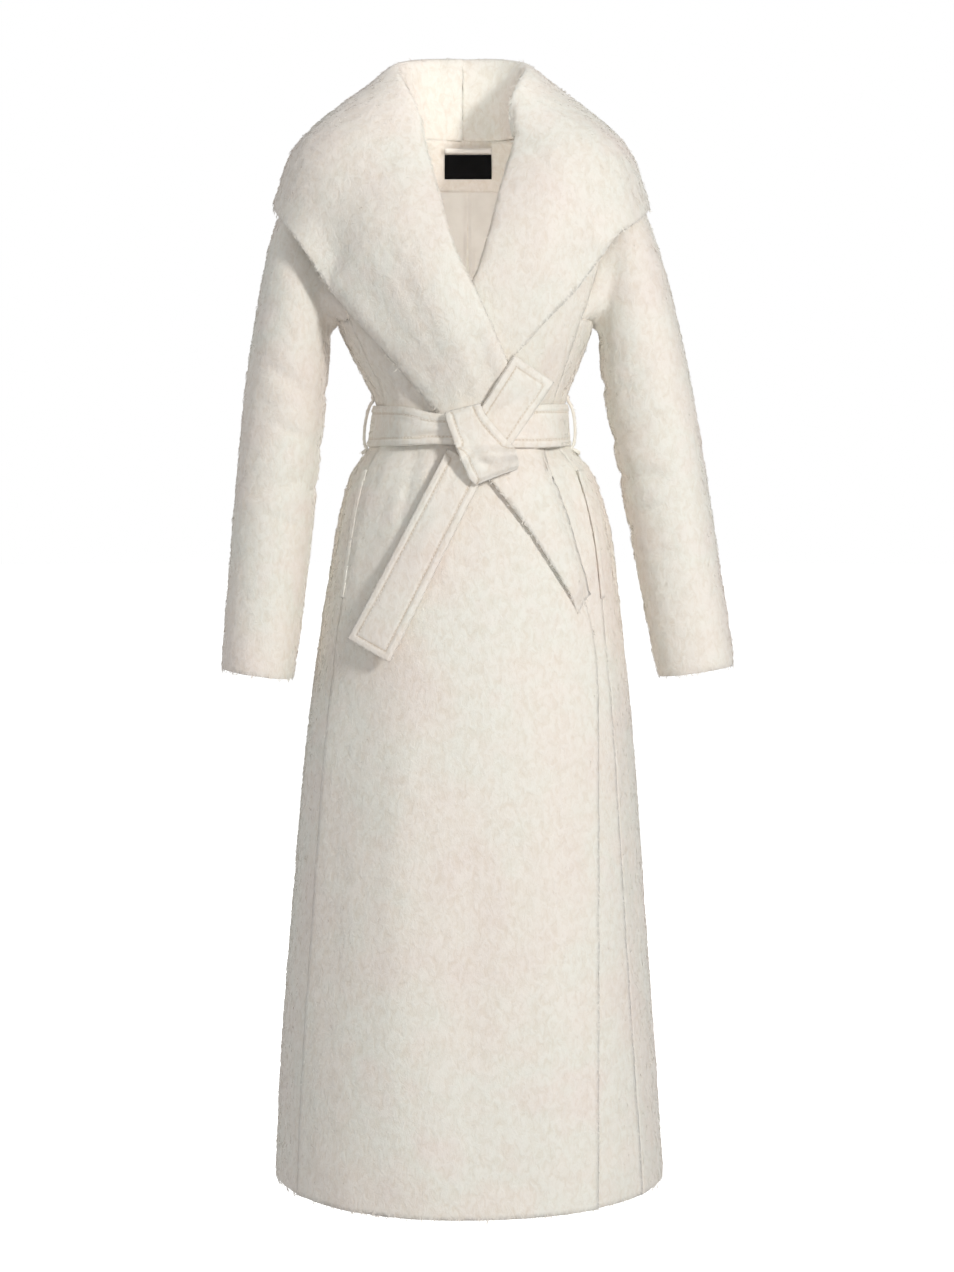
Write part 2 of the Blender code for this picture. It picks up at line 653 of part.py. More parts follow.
def belt_ring(share):
    """The belt's inner face at this share of its width, from the middle of the back round the wearer's right."""
    ring = []
    for i in range(BELT_SPACES):
        angle = -180.0 + 360.0 * i / BELT_SPACES
        place = form_point(angle, BELT_MIDDLE_Z)
        lower, upper = belt_edges_behind(place.x) if place.y > 0 else belt_edges_in_front(place.x)
        z = lower + (upper - lower) * share
        point = body_point(angle, z, belt_level(place.x, place.y < 0))
        ring.append(Vector((point.x, point.y, z)))
    return ring


def make_belt():
    rings = [belt_ring(share) for share in (0.0, 0.5, 1.0)]
    cloth_object("belt_waist", rings, "belt_cloth", BELT_THICKNESS, closed=True)


def strip(name, table, direction=None):
    """A strip of belt along its stations, lying over the coat's front."""
    columns = 4
    rows = []
    for i, (x, lift, z, half) in enumerate(table):
        before, after = table[max(i - 1, 0)], table[min(i + 1, len(table) - 1)]
        run = direction or (after[0] - before[0], after[2] - before[2])
        over = Vector((-run[1], 0.0, run[0])).normalized() * half
        middle = Vector((x, lift, z))
        rows.append([middle + over * (2 * k / columns - 1) for k in range(columns + 1)])
    rows = [[standing_off(spot.x, spot.z, spot.y) for spot in row] for row in loft_rows(rows, 2)]
    cloth_object(name, rows, "belt_cloth", BELT_THICKNESS, outwards=0.0)


def make_tie():
    strip("belt_tail_upper", TAIL_UPPER)
    strip("belt_tail_lower", TAIL_LOWER)
    strip("belt_knot", KNOT, KNOT_DIRECTION)


def make_belt_loops():
    """Carriers on the side panels: a narrow strip that stands over the belt."""
    seated = CLOTH + 3 * SEAM_GAP
    over_belt = CLOTH + LAYER_GAP + BELT_THICKNESS + 0.002
    bow = 0.004  # slack in the carrier, which stands it off the belt
    half_width = 0.004
    half_height = BELT_WIDTH / 2
    path = (
        (-half_height - 0.012, seated),
        (-half_height - 0.006, seated + 0.001),
        (-half_height - 0.0025, over_belt),
        (-half_height * 0.5, over_belt + bow * 0.8),
        (0.0, over_belt + bow),
        (half_height * 0.5, over_belt + bow * 0.8),
        (half_height + 0.0025, over_belt),
        (half_height + 0.006, seated + 0.002),
        (half_height + 0.012, seated + 0.0012),
    )
    for name, angle in (("belt_loop_right", -88.0), ("belt_loop_left", 88.0)):
        rows = []
        for height, out in path:
            middle = body_point(angle, BELT_MIDDLE_Z + height, out)
            rows.append([middle + Vector((0.0, -half_width * share, 0.0)) * math.copysign(1.0, angle)
                         for share in (1.0, 0.0, -1.0)])  # fmt: skip
        cloth_object(name, rows, "belt_cloth", 0.0018)


def make_pocket_welts():
    """Narrow lips along the pocket mouths, in the side-front seams."""
    levels = [z for z in PANEL_ROWS if POCKET_BOTTOM_Z < z < POCKET_TOP_Z]
    levels = [POCKET_BOTTOM_Z, *levels, POCKET_TOP_Z]
    for name, side in (("pocket_welt_right", -1), ("pocket_welt_left", 1)):
        rows = []
        for z in levels:
            seam = body_point(side * front_seam(z), z)
            turn = math.degrees(WELT_WIDTH / seam.xy.length)
            angles = [front_seam(z) + turn * share for share in (-0.5, 0.0, 0.5)]
            row = [body_point(side * angle, z, CLOTH + 3 * SEAM_GAP) for angle in angles]
            rows.append(row if side > 0 else row[::-1])
        cloth_object(name, rows, "coat_cloth", 0.0016)


# ---------------------------------------------------------------- the coat
for old in list(bpy.data.objects):
    bpy.data.objects.remove(old, do_unlink=True)
coat = bpy.data.collections.new("wrap_coat")
bpy.context.scene.collection.children.link(coat)

make_panels()
make_collar("collar_right", -1, RIGHT_LAPEL, right_front_level)
make_collar("collar_left", 1, LEFT_LAPEL, no_level)
make_sleeve("sleeve_right", -1, RIGHT_SLEEVE)
make_sleeve("sleeve_left", 1, LEFT_SLEEVE)
make_inside_neck()
make_belt()
make_tie()
make_belt_loops()
make_pocket_welts()
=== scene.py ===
# %% [markdown]
# This scene dresses a long wrap coat in brushed, curly cloth. The coat's pieces arrive as plain
# closed walls, one for each piece a maker cuts. Each wall is refined into a soft shell on the same
# form, given the creases that wear presses into it, and covered in a short curly nap.
#
# The wall could be hidden under a single noisy texture, but long-haired cloth is known by its
# fuzzy outline and by tufts that catch the light, so the nap is made as real locks of hair.

# %% Load the frame
import json
import math

import bmesh
import bpy
import numpy as np
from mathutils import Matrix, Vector
from mathutils.bvhtree import BVHTree
from mathutils.kdtree import KDTree

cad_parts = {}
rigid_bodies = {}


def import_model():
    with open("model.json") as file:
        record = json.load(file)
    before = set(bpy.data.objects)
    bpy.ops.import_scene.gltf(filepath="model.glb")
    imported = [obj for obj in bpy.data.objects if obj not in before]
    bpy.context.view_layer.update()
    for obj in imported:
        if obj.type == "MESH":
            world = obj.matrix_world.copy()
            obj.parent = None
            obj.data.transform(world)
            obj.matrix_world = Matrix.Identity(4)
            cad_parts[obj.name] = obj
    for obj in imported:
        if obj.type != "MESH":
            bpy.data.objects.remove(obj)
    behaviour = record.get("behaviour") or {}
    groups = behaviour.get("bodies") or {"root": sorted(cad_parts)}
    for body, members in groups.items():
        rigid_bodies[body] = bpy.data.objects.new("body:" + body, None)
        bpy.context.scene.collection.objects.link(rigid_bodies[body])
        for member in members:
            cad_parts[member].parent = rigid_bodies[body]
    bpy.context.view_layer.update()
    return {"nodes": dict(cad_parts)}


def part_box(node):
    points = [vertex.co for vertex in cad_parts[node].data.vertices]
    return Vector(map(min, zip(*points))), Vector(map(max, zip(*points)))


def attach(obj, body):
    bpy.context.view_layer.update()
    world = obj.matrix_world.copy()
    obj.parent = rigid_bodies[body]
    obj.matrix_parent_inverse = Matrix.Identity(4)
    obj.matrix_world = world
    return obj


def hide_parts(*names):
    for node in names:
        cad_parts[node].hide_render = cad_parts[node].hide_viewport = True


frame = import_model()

MM = 0.001

# %% [markdown]
# ## Colours and shader nodes
# Colours are written as the sRGB hex values an eye would pick from a screen, and one function turns
# them into the linear light that the shaders work in. A second small function adds a node with its
# settings and links, and a few more name what the materials ask of it most: noise of a given size,
# a colour ramp, one colour times another, and a bump of a given depth.


# %% Colour and node helpers
MIX_SHARE, COLOUR_A, COLOUR_B, MIX_RESULT = 0, 6, 7, 2  # the Mix node's sockets when it mixes colours


def linear(hex_colour):
    """Linear red, green, blue and alpha of an sRGB hex colour."""
    channels = [int(hex_colour[i : i + 2], 16) / 255 for i in (1, 3, 5)]
    return (*[c / 12.92 if c <= 0.04045 else ((c + 0.055) / 1.055) ** 2.4 for c in channels], 1.0)


def add(tree, kind, links=None, inputs=None, **settings):
    """A node of this kind. links maps its input sockets to other nodes' outputs, inputs to constants."""
    node = tree.nodes.new(kind)
    for name, value in settings.items():
        setattr(node, name, value)
    for name, value in (inputs or {}).items():
        node.inputs[name].default_value = value
    for name, output in (links or {}).items():
        tree.links.new(output, node.inputs[name])
    return node


def new_finish(name, roughness, **constants):
    """An empty material: its tree and its main shader, with constants on the shader's own sockets."""
    material = bpy.data.materials.new(name)
    material.use_nodes = True
    shader = material.node_tree.nodes["Principled BSDF"]
    shader.inputs["Roughness"].default_value = roughness
    for socket, value in constants.items():
        shader.inputs[socket.replace("_", " ")].default_value = value
    return material, material.node_tree, shader


def noise(tree, place, size, **inputs):
    """Noise whose lumps are about this many metres across."""
    return add(tree, "ShaderNodeTexNoise", {"Vector": place}, {"Scale": 1 / size, **inputs}).outputs["Fac"]


def colour_steps(tree, factor, stops):
    """A colour ramp over (position, hex) stops, read by this factor."""
    ramp = add(tree, "ShaderNodeValToRGB", {"Fac": factor})
    while len(ramp.color_ramp.elements) < len(stops):
        ramp.color_ramp.elements.new(0.5)
    for element, (position, hex_colour) in zip(ramp.color_ramp.elements, stops):
        element.position = position
        element.color = linear(hex_colour)
    return ramp.outputs["Color"]


def multiplied(tree, colour, other):
    """One colour times another."""
    mixed = add(tree, "ShaderNodeMix", {COLOUR_A: colour, COLOUR_B: other}, {MIX_SHARE: 1.0},
                data_type="RGBA", blend_type="MULTIPLY")  # fmt: skip
    return mixed.outputs[MIX_RESULT]


def bumped(tree, height, depth, strength, beneath=None):
    """The shading normal of a relief this deep, over another one if there is one beneath."""
    links = {"Height": height} if beneath is None else {"Height": height, "Normal": beneath}
    return add(tree, "ShaderNodeBump", links, {"Strength": strength, "Distance": depth}).outputs["Normal"]


print("an undyed cream in linear light:", [round(c, 3) for c in linear("#EFEAE0")])

# %% [markdown]
# ## The coat cloth
# The cloth is suri alpaca and wool, woven and then brushed until the long fibres stand out in small
# curls. To the eye that is a matt, milky surface with no gloss at all: a pale sheen at grazing
# angles, patches that lean towards pink and towards grey-green, and hollows in shade between tufts.
#
# The patches are a slow noise about 130 mm across and the tufts a fast one about 7 mm across, both
# read in the coat's own metres, so their scale is the real one. Where the tufts are low, the colour
# is painted darker, as painted shade in their hollows. The fibres themselves are near 0.03 mm thick,
# far too fine to show, and are drawn as grain 1.4 mm wide.
#
# The belt is the same cloth, pressed. Along the groove its topstitching sinks, shade is painted into
# the colour, and a field on the belt's points says where that is.

# %% Brushed alpaca cloth
PATCH_SIZE = 130 * MM
TUFT_SIZE = 7 * MM
FIBRE_GRAIN = 1.4 * MM
TUFT_STRETCH = (1.0, 1.0, 0.62)  # tufts hang, so they are longer than they are wide
# painted shade: the low places of the tufts are coloured darker
TUFT_HOLLOW_SHADE = [(0.30, "#F5F1EC"), (0.58, "#FFFFFF")]
# painted shade along the belt's stitch grooves, where the field on its points is set
GROOVE_SHADE_FIELD = "groove_painted_shade"
GROOVE_PAINTED_SHADE = [(0.30, "#FFFFFF"), (0.90, "#E6DFD6")]


def brushed_alpaca(name, stops, tuft_depth, grain_depth, paint_groove_shade=False):
    """Matt brushed cloth: slow patches of tone, tufts with painted shade in their hollows, a grain of
    fibres for the bump, and painted shade in the stitch grooves if asked.
    """
    material, tree, shader = new_finish(
        name, 0.92, Sheen_Weight=0.30, Sheen_Roughness=0.55, Specular_IOR_Level=0.18
    )
    place = add(tree, "ShaderNodeTexCoord").outputs["Object"]
    hanging = add(tree, "ShaderNodeMapping", {"Vector": place}, {"Scale": TUFT_STRETCH}).outputs["Vector"]
    patches = noise(tree, place, PATCH_SIZE, Detail=3.0, Roughness=0.6)
    tufts = noise(tree, hanging, TUFT_SIZE, Detail=4.0, Roughness=0.62, Distortion=0.8)
    grain = noise(tree, hanging, FIBRE_GRAIN, Detail=2.0, Distortion=0.6)
    # painted shade: the tufts' hollows darken the colour
    colour = multiplied(tree, colour_steps(tree, patches, stops), colour_steps(tree, tufts, TUFT_HOLLOW_SHADE))
    if paint_groove_shade:
        # painted shade in the stitch groove, read from the field on the belt's points
        groove_shade_mask = add(tree, "ShaderNodeAttribute", attribute_name=GROOVE_SHADE_FIELD).outputs["Fac"]
        colour = multiplied(tree, colour, colour_steps(tree, groove_shade_mask, GROOVE_PAINTED_SHADE))
    tree.links.new(colour, shader.inputs["Base Color"])
    relief = bumped(tree, tufts, tuft_depth, strength=0.8)
    relief = bumped(tree, grain, grain_depth, strength=0.7, beneath=relief)
    tree.links.new(relief, shader.inputs["Normal"])
    return material


CREAM_TONES = [(0.32, "#EFE6DE"), (0.47, "#F0EAE1"), (0.58, "#EEECE3"), (0.70, "#F0E8E0")]
coat_finish = brushed_alpaca("brushed_suri_alpaca", CREAM_TONES, 1.4 * MM, 0.4 * MM)
belt_finish = brushed_alpaca("pressed_suri_alpaca", CREAM_TONES, 0.8 * MM, 0.3 * MM, paint_groove_shade=True)
nap_finish = brushed_alpaca("suri_alpaca_hair", CREAM_TONES, 0.2 * MM, 0.1 * MM)
print("cloth finishes:", coat_finish.name, belt_finish.name, nap_finish.name)

# %% [markdown]
# ## Lining, label and thread
# The lining is viscose satin: its long floats give a soft highlight across the weave, so its
# roughness is middling and a little anisotropic, with faint ribs. Satin's threads lie 0.2 mm apart,
# which no view of a whole coat shows, so the ribs are drawn 1.6 mm apart.
#
# The label is a black damask tape, quite matt. It is left bare, and its weave is the only thing on
# it. The sewing thread is spun polyester in the colour of the cloth, with a small gloss.

# %% Satin, label and thread finishes
CLOUD_SIZE = 26 * MM


def ribbed(name, hex_low, hex_high, roughness, rib, depth, direction, **constants):
    """A smooth woven finish with fine ribs, as warp or weft floats draw them."""
    material, tree, shader = new_finish(name, roughness, **constants)
    place = add(tree, "ShaderNodeTexCoord").outputs["Object"]
    ribs = add(tree, "ShaderNodeTexWave", {"Vector": place},
               {"Scale": 1 / rib / 2, "Distortion": 0.6, "Detail": 2.0, "Detail Scale": 2.0},
               wave_type="BANDS", bands_direction=direction)  # fmt: skip
    cloudy = noise(tree, place, CLOUD_SIZE, Detail=3.0)
    tone = colour_steps(tree, cloudy, [(0.35, hex_low), (0.68, hex_high)])
    tree.links.new(tone, shader.inputs["Base Color"])
    relief = bumped(tree, ribs.outputs["Fac"], depth, strength=0.5)
    tree.links.new(relief, shader.inputs["Normal"])
    return material


satin_finish = ribbed("viscose_satin", "#E8E2DB", "#F1ECE6", 0.42, 1.6 * MM, 0.08 * MM, "Z",
                      Sheen_Weight=0.15, Anisotropic=0.35)  # fmt: skip
label_finish = ribbed("damask_label", "#060607", "#0B0B0D", 0.85, 0.9 * MM, 0.10 * MM, "Z",
                      Specular_IOR_Level=0.12)  # fmt: skip
thread_finish = ribbed("polyester_thread", "#ECE4DA", "#F4EEE6", 0.55, 0.8 * MM, 0.05 * MM, "X",
                       Sheen_Weight=0.2)  # fmt: skip
print("smooth finishes:", satin_finish.name, label_finish.name, thread_finish.name)

# %% [markdown]
# ## Camera, light and floor
# The coat is pale on pale, so it is lit as a shop lights such cloth: a white surround that wraps the
# light round every fold, one soft lamp high on the wearer's left that gives the tufts their shade,
# and a weaker one in front. A single hard lamp would model the form more, but it would turn the
# cream to yellow and white. Two broad lamps light the back and the wearer's right side, and two
# small faint ones stand in for the light that pale cloth throws about inside an open neck.
#
# The camera stands 3.8 m in front, just below the height of the belt, and looks a little down. Its
# lens is worked out from that distance and from how tall the coat stands in the frame.

# %% Camera, lamps and floor
CAMERA_PLACE = Vector((0.0108, -3.8, -0.378))
CAMERA_TILT = math.radians(3.09)  # below level
SENSOR = 36.0  # millimetres along the picture's long side
LENS = 89.63
FLOOR_Z = -1.43  # under the wearer's feet
COAT_MIDDLE = (0.0, 0.0, -0.55)
SURROUND = 0.37  # light from all round; the surround itself is seen as white paper

camera_data = bpy.data.cameras.new("camera")
camera_data.sensor_width = SENSOR
camera_data.lens = LENS
camera = bpy.data.objects.new("camera", camera_data)
camera.location = CAMERA_PLACE
camera.rotation_euler = (math.radians(90) - CAMERA_TILT, 0.0, 0.0)
bpy.context.collection.objects.link(camera)
bpy.context.scene.camera = camera

world = bpy.data.worlds.new("white_surround")
world.use_nodes = True
background = world.node_tree.nodes["Background"]
background.inputs["Color"].default_value = (1.0, 1.0, 1.0, 1.0)
seen = add(world.node_tree, "ShaderNodeLightPath").outputs["Is Camera Ray"]
strength = add(world.node_tree, "ShaderNodeMapRange", {"Value": seen}, {"To Min": SURROUND, "To Max": 1.0})
world.node_tree.links.new(strength.outputs["Result"], background.inputs["Strength"])
bpy.context.scene.world = world
bpy.context.scene.view_settings.view_transform = "Standard"


def soft_lamp(name, place, aim, width, watts, colour="#FFFFFF"):
    """A square soft box that points at aim."""
    lamp = bpy.data.lights.new(name, "AREA")
    lamp.size = width
    lamp.energy = watts
    lamp.color = linear(colour)[:3]
    holder = bpy.data.objects.new(name, lamp)
    holder.location = place
    holder.rotation_euler = (Vector(aim) - Vector(place)).to_track_quat("-Z", "Y").to_euler()
    bpy.context.collection.objects.link(holder)
    return holder


soft_lamp("key_lamp", (2.0, -3.2, 0.8), COAT_MIDDLE, 0.50, 84.0, "#FFFDFA")
soft_lamp("front_fill", (0.1, -4.3, -0.3), COAT_MIDDLE, 1.2, 28.0)
soft_lamp("back_lamp", (0.9, 4.2, 0.5), COAT_MIDDLE, 1.6, 92.0)
soft_lamp("right_side_lamp", (-3.7, 1.5, 0.2), COAT_MIDDLE, 1.2, 26.0)
inside_lamp = soft_lamp("inside_lamp", (0.0, -0.02, -0.33), (0.0, 0.10, -0.06), 0.10, 0.28)
neck_lamp = soft_lamp("neck_lamp", (-0.02, -0.11, 0.20), (0.03, 0.08, 0.05), 0.08, 0.09)
inside_lamp.visible_camera = neck_lamp.visible_camera = False

bpy.ops.mesh.primitive_circle_add(vertices=96, radius=30.0, fill_type="NGON", location=(0, 0, FLOOR_Z))
floor = bpy.context.object
floor.name = "studio_floor"
floor_finish, _, floor_shader = new_finish("white_paper_floor", 0.9)
floor_shader.inputs["Base Color"].default_value = linear("#FAFAF8")
floor_shader.inputs["Emission Color"].default_value = (1.0, 1.0, 1.0, 1.0)
floor_shader.inputs["Emission Strength"].default_value = 0.8
floor.data.materials.append(floor_finish)
floor.visible_diffuse = False  # it looks white, but throws no light up into the folds

# %% [markdown]
# ## Which way is out
# A crease moves both faces of a wall the same way, or the wall would cross itself. So every piece
# needs one smooth direction that means outwards: away from the middle line of the body for panels
# and collar, away from the arm's own middle line for a sleeve, and straight forwards for the tie.

# %% Outward directions
NODES = frame["nodes"]
TIE = ("belt_knot", "belt_tail_upper", "belt_tail_lower")
LEVEL = np.array([1.0, 1.0, 0.0])
SLEEVE_STATIONS = 14
SLEEVE_END, SLEEVE_SLICE = 12 * MM, 45 * MM  # kept from the ends, and looked at to each side of a station


def sleeve_axis(node):
    """Heights and the middle of the sleeve at each, from its solid."""
    points = np.array([v.co for v in NODES[node].data.vertices])
    low, high = points[:, 2].min(), points[:, 2].max()
    heights = np.linspace(low + SLEEVE_END, high - SLEEVE_END, SLEEVE_STATIONS)
    middles = []
    for z in heights:
        near = points[np.abs(points[:, 2] - z) < SLEEVE_SLICE]
        middles.append((near.min(axis=0) + near.max(axis=0)) / 2)
    return heights, np.array(middles)


def unit(rows):
    """Each row scaled to a length of one."""
    return rows / np.maximum(np.linalg.norm(rows, axis=1, keepdims=True), 1e-6)


def outward(node, points):
    """The direction that means outwards at each of these points of the piece."""
    if node in TIE:
        return np.tile(np.array([0.0, -1.0, 0.0]), (len(points), 1))
    if node in SLEEVE_AXES:
        heights, middles = SLEEVE_AXES[node]
        middle = [np.interp(points[:, 2], heights, middles[:, k]) for k in range(3)]
        points = points - np.stack(middle, axis=1)
    return unit(points * LEVEL)


SLEEVE_AXES = {node: sleeve_axis(node) for node in ("sleeve_right", "sleeve_left")}
cuff, head = SLEEVE_AXES["sleeve_left"][1][[0, -1]] / MM
print("the left sleeve's middle line runs from", cuff.round(), "to", head.round(), "mm")

# %% [markdown]
# ## Fitting the pieces to each other
# The walls meet as on a pattern maker's stand. Once worn and tied, cloth gives a little: the neck is
# drawn open, the collar's halves close into one seam, and the knot spreads over the ends it holds.
# Each of these is a shift of less than 20 mm that fades out over a few centimetres, so the cloth
# stays whole and its edges stay true.

# %% Fit a piece
# How far each lapel is drawn back from the open neck at these heights, and where its edge lies, in mm.
NECK_HEIGHTS = [-215, -180, -155, -131, -100, -48, -25, 10, 30]
NECK_DRAW = {"right": [0, 3.5, 7.5, 10.5, 10.5, 7, 6, 4, 0], "left": [0, 7, 10.5, 10.5, 9.5, 7, 6, 4.5, 0]}
NECK_EDGE = {"right": [20, 14, 8, 2, -9, -26, -34, -43, -48], "left": [-20, -14, -8, 3, 10, 29, 37, 48, 52]}
NECK_REACH, NECK_DEPTH = 42 * MM, 40 * MM  # the draw fades over these, sideways and towards the back

COLLAR_SEAM = -8.2 * MM  # the seam down the middle of the back
COLLAR_BEHIND = 30 * MM  # the collar's back part lies past this
COLLAR_FOOT, COLLAR_FADE = -85 * MM, 25 * MM  # its lower edge stays, and the shift grows in above it
SEAM_STEP, STEP_REACH = 2.3 * MM, 22 * MM
SEAM_GAP, GAP_REACH = 1.2 * MM, 5 * MM

TAIL_HELD, TAIL_FREE = -0.42, 0.18  # below this height the lower tail hangs free, for this far
TAIL_SWING = 7 * MM  # how far its end hangs in front of the skirt

# Shares of the way down the knot, and in mm there: its right edge, and its left edge's way left and up.
KNOT_START = [0, 0.25, 1], [-10, -27, 6]
KNOT_SPREAD = [0, 0.3, 0.6, 0.8, 1], [-4, 4, 15, 13, 5]
KNOT_TILT = [0, 0.5, 1], [-8, 0, 7]
KNOT_WIDTH, KNOT_SHORTENED = 46 * MM, 7 * MM

UPPER_TIP, UPPER_RUN = np.array([0.074, 0.0, -0.256]), np.array([-0.53, 0.0, -0.85])  # from its free end
UPPER_KEPT, UPPER_FADE, UPPER_TUCK = 28 * MM, 43 * MM, 18 * MM
FACING_RAISED = 5 * MM


def eased(share):
    """A share from 0 to 1 that starts and ends gently."""
    return share * share * (3 - 2 * share)


def bell(away, reach):
    """1 in the middle, falling smoothly to nothing at about twice this reach."""
    return np.exp(-((away / reach) ** 2))


def share_down(node, points):
    """0 at the top of the node's box and 1 at its foot."""
    low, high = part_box(node)
    return np.clip((high.z - points[:, 2]) / (high.z - low.z), 0, 1)


def draw_neck_back(points, side):
    height = points[:, 2] / MM
    edge = np.interp(height, NECK_HEIGHTS, NECK_EDGE[side]) * MM
    draw = np.interp(height, NECK_HEIGHTS, NECK_DRAW[side], left=0, right=0) * MM
    draw *= bell(points[:, 0] - edge, NECK_REACH) * np.clip(-points[:, 1] / NECK_DEPTH, 0, 1)
    points[:, 0] += draw if side == "left" else -draw


def close_collar_seam(points, side):
    off = points[:, 0] - COLLAR_SEAM
    sign = 1 if side == "left" else -1
    above = (points[:, 1] > COLLAR_BEHIND) * np.clip((points[:, 2] - COLLAR_FOOT) / COLLAR_FADE, 0, 1)
    points[:, 1] += sign * SEAM_STEP * above * bell(off, STEP_REACH)
    points[:, 0] -= sign * SEAM_GAP * (points[:, 1] > COLLAR_BEHIND) * bell(off, GAP_REACH)


def swing_tail(points):
    points[:, 1] -= TAIL_SWING * eased(np.clip((TAIL_HELD - points[:, 2]) / TAIL_FREE, 0, 1))


def spread_knot(points):
    """It spreads to the wearer's left, over the upper tail."""
    down = share_down("belt_knot", points)
    across = np.clip((points[:, 0] - np.interp(down, *KNOT_START) * MM) / KNOT_WIDTH, 0, 1)
    points[:, 0] += across * np.interp(down, *KNOT_SPREAD) * MM
    points[:, 2] += across * np.interp(down, *KNOT_TILT) * MM + (down - 0.5) * KNOT_SHORTENED


def run_under_knot(points):
    """The upper tail's hidden end runs on under the knot, and its free end stays."""
    along = np.clip(((points - UPPER_TIP) @ UPPER_RUN - UPPER_KEPT) / UPPER_FADE, 0, 1)
    points += UPPER_RUN * (UPPER_TUCK * along)[:, None]


def raise_facing(points):
    points[:, 2] += FACING_RAISED * (1 - share_down("back_neck_facing", points)) ** 2


FITTINGS = {
    "belt_tail_lower": swing_tail,
    "belt_tail_upper": run_under_knot,
    "belt_knot": spread_knot,
    "back_neck_facing": raise_facing,
}


def fitted(node, points):
    """A copy of the node's points, fitted to the pieces beside it."""
    piece, _, side = node.rpartition("_")
    points = points.copy()
    if piece in ("collar", "front"):
        draw_neck_back(points, side)
    if piece == "collar":
        close_collar_seam(points, side)
    if node in FITTINGS:
        FITTINGS[node](points)
    return points


print("pieces fitted: the fronts, the collar,", *FITTINGS)

# %% [markdown]
# ## Refining a cut piece
# Each cut piece comes as a closed wall with large faces: an outer face, an inner face, and a narrow
# rim between them. Pairing its triangles back into four-sided faces lets subdivision smooth the wall
# without dimples. The rim is kept crisp with creases, because smoothing would otherwise pull the
# edge of so thin a wall in by several millimetres and open the seams. Long faces are then divided
# again, so that the creases and tufts have points to move.

# %% Refine a wall
WALL_THICKNESS = {  # in mm
    "front_right front_left side_right side_left back sleeve_right sleeve_left": 3.0,
    "collar_right collar_left": 4.8,
    "pocket_welt_right pocket_welt_left": 1.6,
    "back_neck_facing": 1.8,
    "back_lining": 1.2,
    "neck_label": 0.8,
    "hanger_loop": 1.4,
    "belt_waist belt_tail_upper belt_tail_lower belt_knot": 4.0,
    "belt_loop_right belt_loop_left": 1.8,
}
WALLS = {node: thick * MM for nodes, thick in WALL_THICKNESS.items() for node in nodes.split()}
BOTH_FACES_SHOW = ("collar_right", "collar_left", "back_lining", "neck_label", "hanger_loop")
RIM_ANGLE = math.radians(55)
RIM_WALLS = 1.3  # a face narrower than this many walls belongs to the rim
RIM_SPACING = 1.0 * MM
MOST_HALVINGS = 5
HIDDEN_SIDE = -0.4  # an edge that faces inwards more than this isn't divided


def paired_faces(node):
    """The node's mesh with triangles joined in pairs, its layer of creased edges, and its rim's faces."""
    bm = bmesh.new()
    bm.from_mesh(NODES[node].data)
    bmesh.ops.remove_doubles(bm, verts=bm.verts, dist=0.01 * MM)
    bmesh.ops.join_triangles(bm, faces=bm.faces, angle_face_threshold=math.radians(40),
                             angle_shape_threshold=math.radians(60))  # fmt: skip
    crease = bm.edges.layers.float.new("crease_edge")
    narrow = RIM_WALLS * WALLS[node]
    rim = {face for face in bm.faces if min(edge.calc_length() for edge in face.edges) < narrow}
    for edge in bm.edges:
        on_rim = sum(face in rim for face in edge.link_faces)
        if on_rim == 1 or (on_rim == 2 and edge.calc_face_angle(0.0) > RIM_ANGLE):
            edge[crease] = 1.0
    return bm, crease, rim


def rim_points(node, skip=None):
    """Points along the edges of the piece's rim, closely spaced, but for the edges that skip names."""
    bm, crease, _ = paired_faces(node)
    points = []
    for edge in bm.edges:
        if skip and skip(*(vert.co for vert in edge.verts)):
            continue
        if edge[crease] > 0 and edge.calc_length() > RIM_WALLS * WALLS[node]:
            steps = max(int(edge.calc_length() / RIM_SPACING), 1)
            points += [edge.verts[0].co.lerp(edge.verts[1].co, i / steps) for i in range(steps)]
    bm.free()
    return fitted(node, np.array(points))


def divide_long_edges(mesh, node, longest):
    """Halves the edges longer than this on the faces that show, until none is left."""
    bm = bmesh.new()
    bm.from_mesh(mesh)
    for _ in range(MOST_HALVINGS):
        bm.normal_update()
        far = [edge for edge in bm.edges if edge.calc_length() > longest]
        if far and node not in BOTH_FACES_SHOW:
            middles = np.array([(edge.verts[0].co + edge.verts[1].co) / 2 for edge in far])
            turned = np.array([edge.verts[0].normal + edge.verts[1].normal for edge in far])
            shown = (turned * outward(node, middles)).sum(axis=1) > HIDDEN_SIDE
            far = [edge for edge, kept in zip(far, shown) if kept]
        if not far:
            break
        bmesh.ops.subdivide_edges(bm, edges=far, cuts=1, use_grid_fill=True)
    bmesh.ops.triangulate(bm, faces=[face for face in bm.faces if len(face.verts) > 4])
    bm.to_mesh(mesh)
    bm.free()


def refined(node, levels, longest):
    """A smooth, finely divided copy of the node's wall, as a new object in the same place."""
    bm, _, _ = paired_faces(node)
    coarse = bpy.data.meshes.new("coarse")
    bm.to_mesh(coarse)
    bm.free()
    shell = bpy.data.objects.new(node + "_cloth", coarse)
    bpy.context.collection.objects.link(shell)
    smoother = shell.modifiers.new("smoother", "SUBSURF")
    smoother.levels = smoother.render_levels = levels
    bpy.context.view_layer.update()
    fine = bpy.data.meshes.new_from_object(shell.evaluated_get(bpy.context.evaluated_depsgraph_get()))
    shell.modifiers.clear()
    shell.data = fine
    fine.name = node + "_cloth"
    bpy.data.meshes.remove(coarse)
    divide_long_edges(fine, node, longest)
    return shell


print("walls of", len(WALLS), "pieces, the thickest", max(WALLS.values()) / MM, "mm")
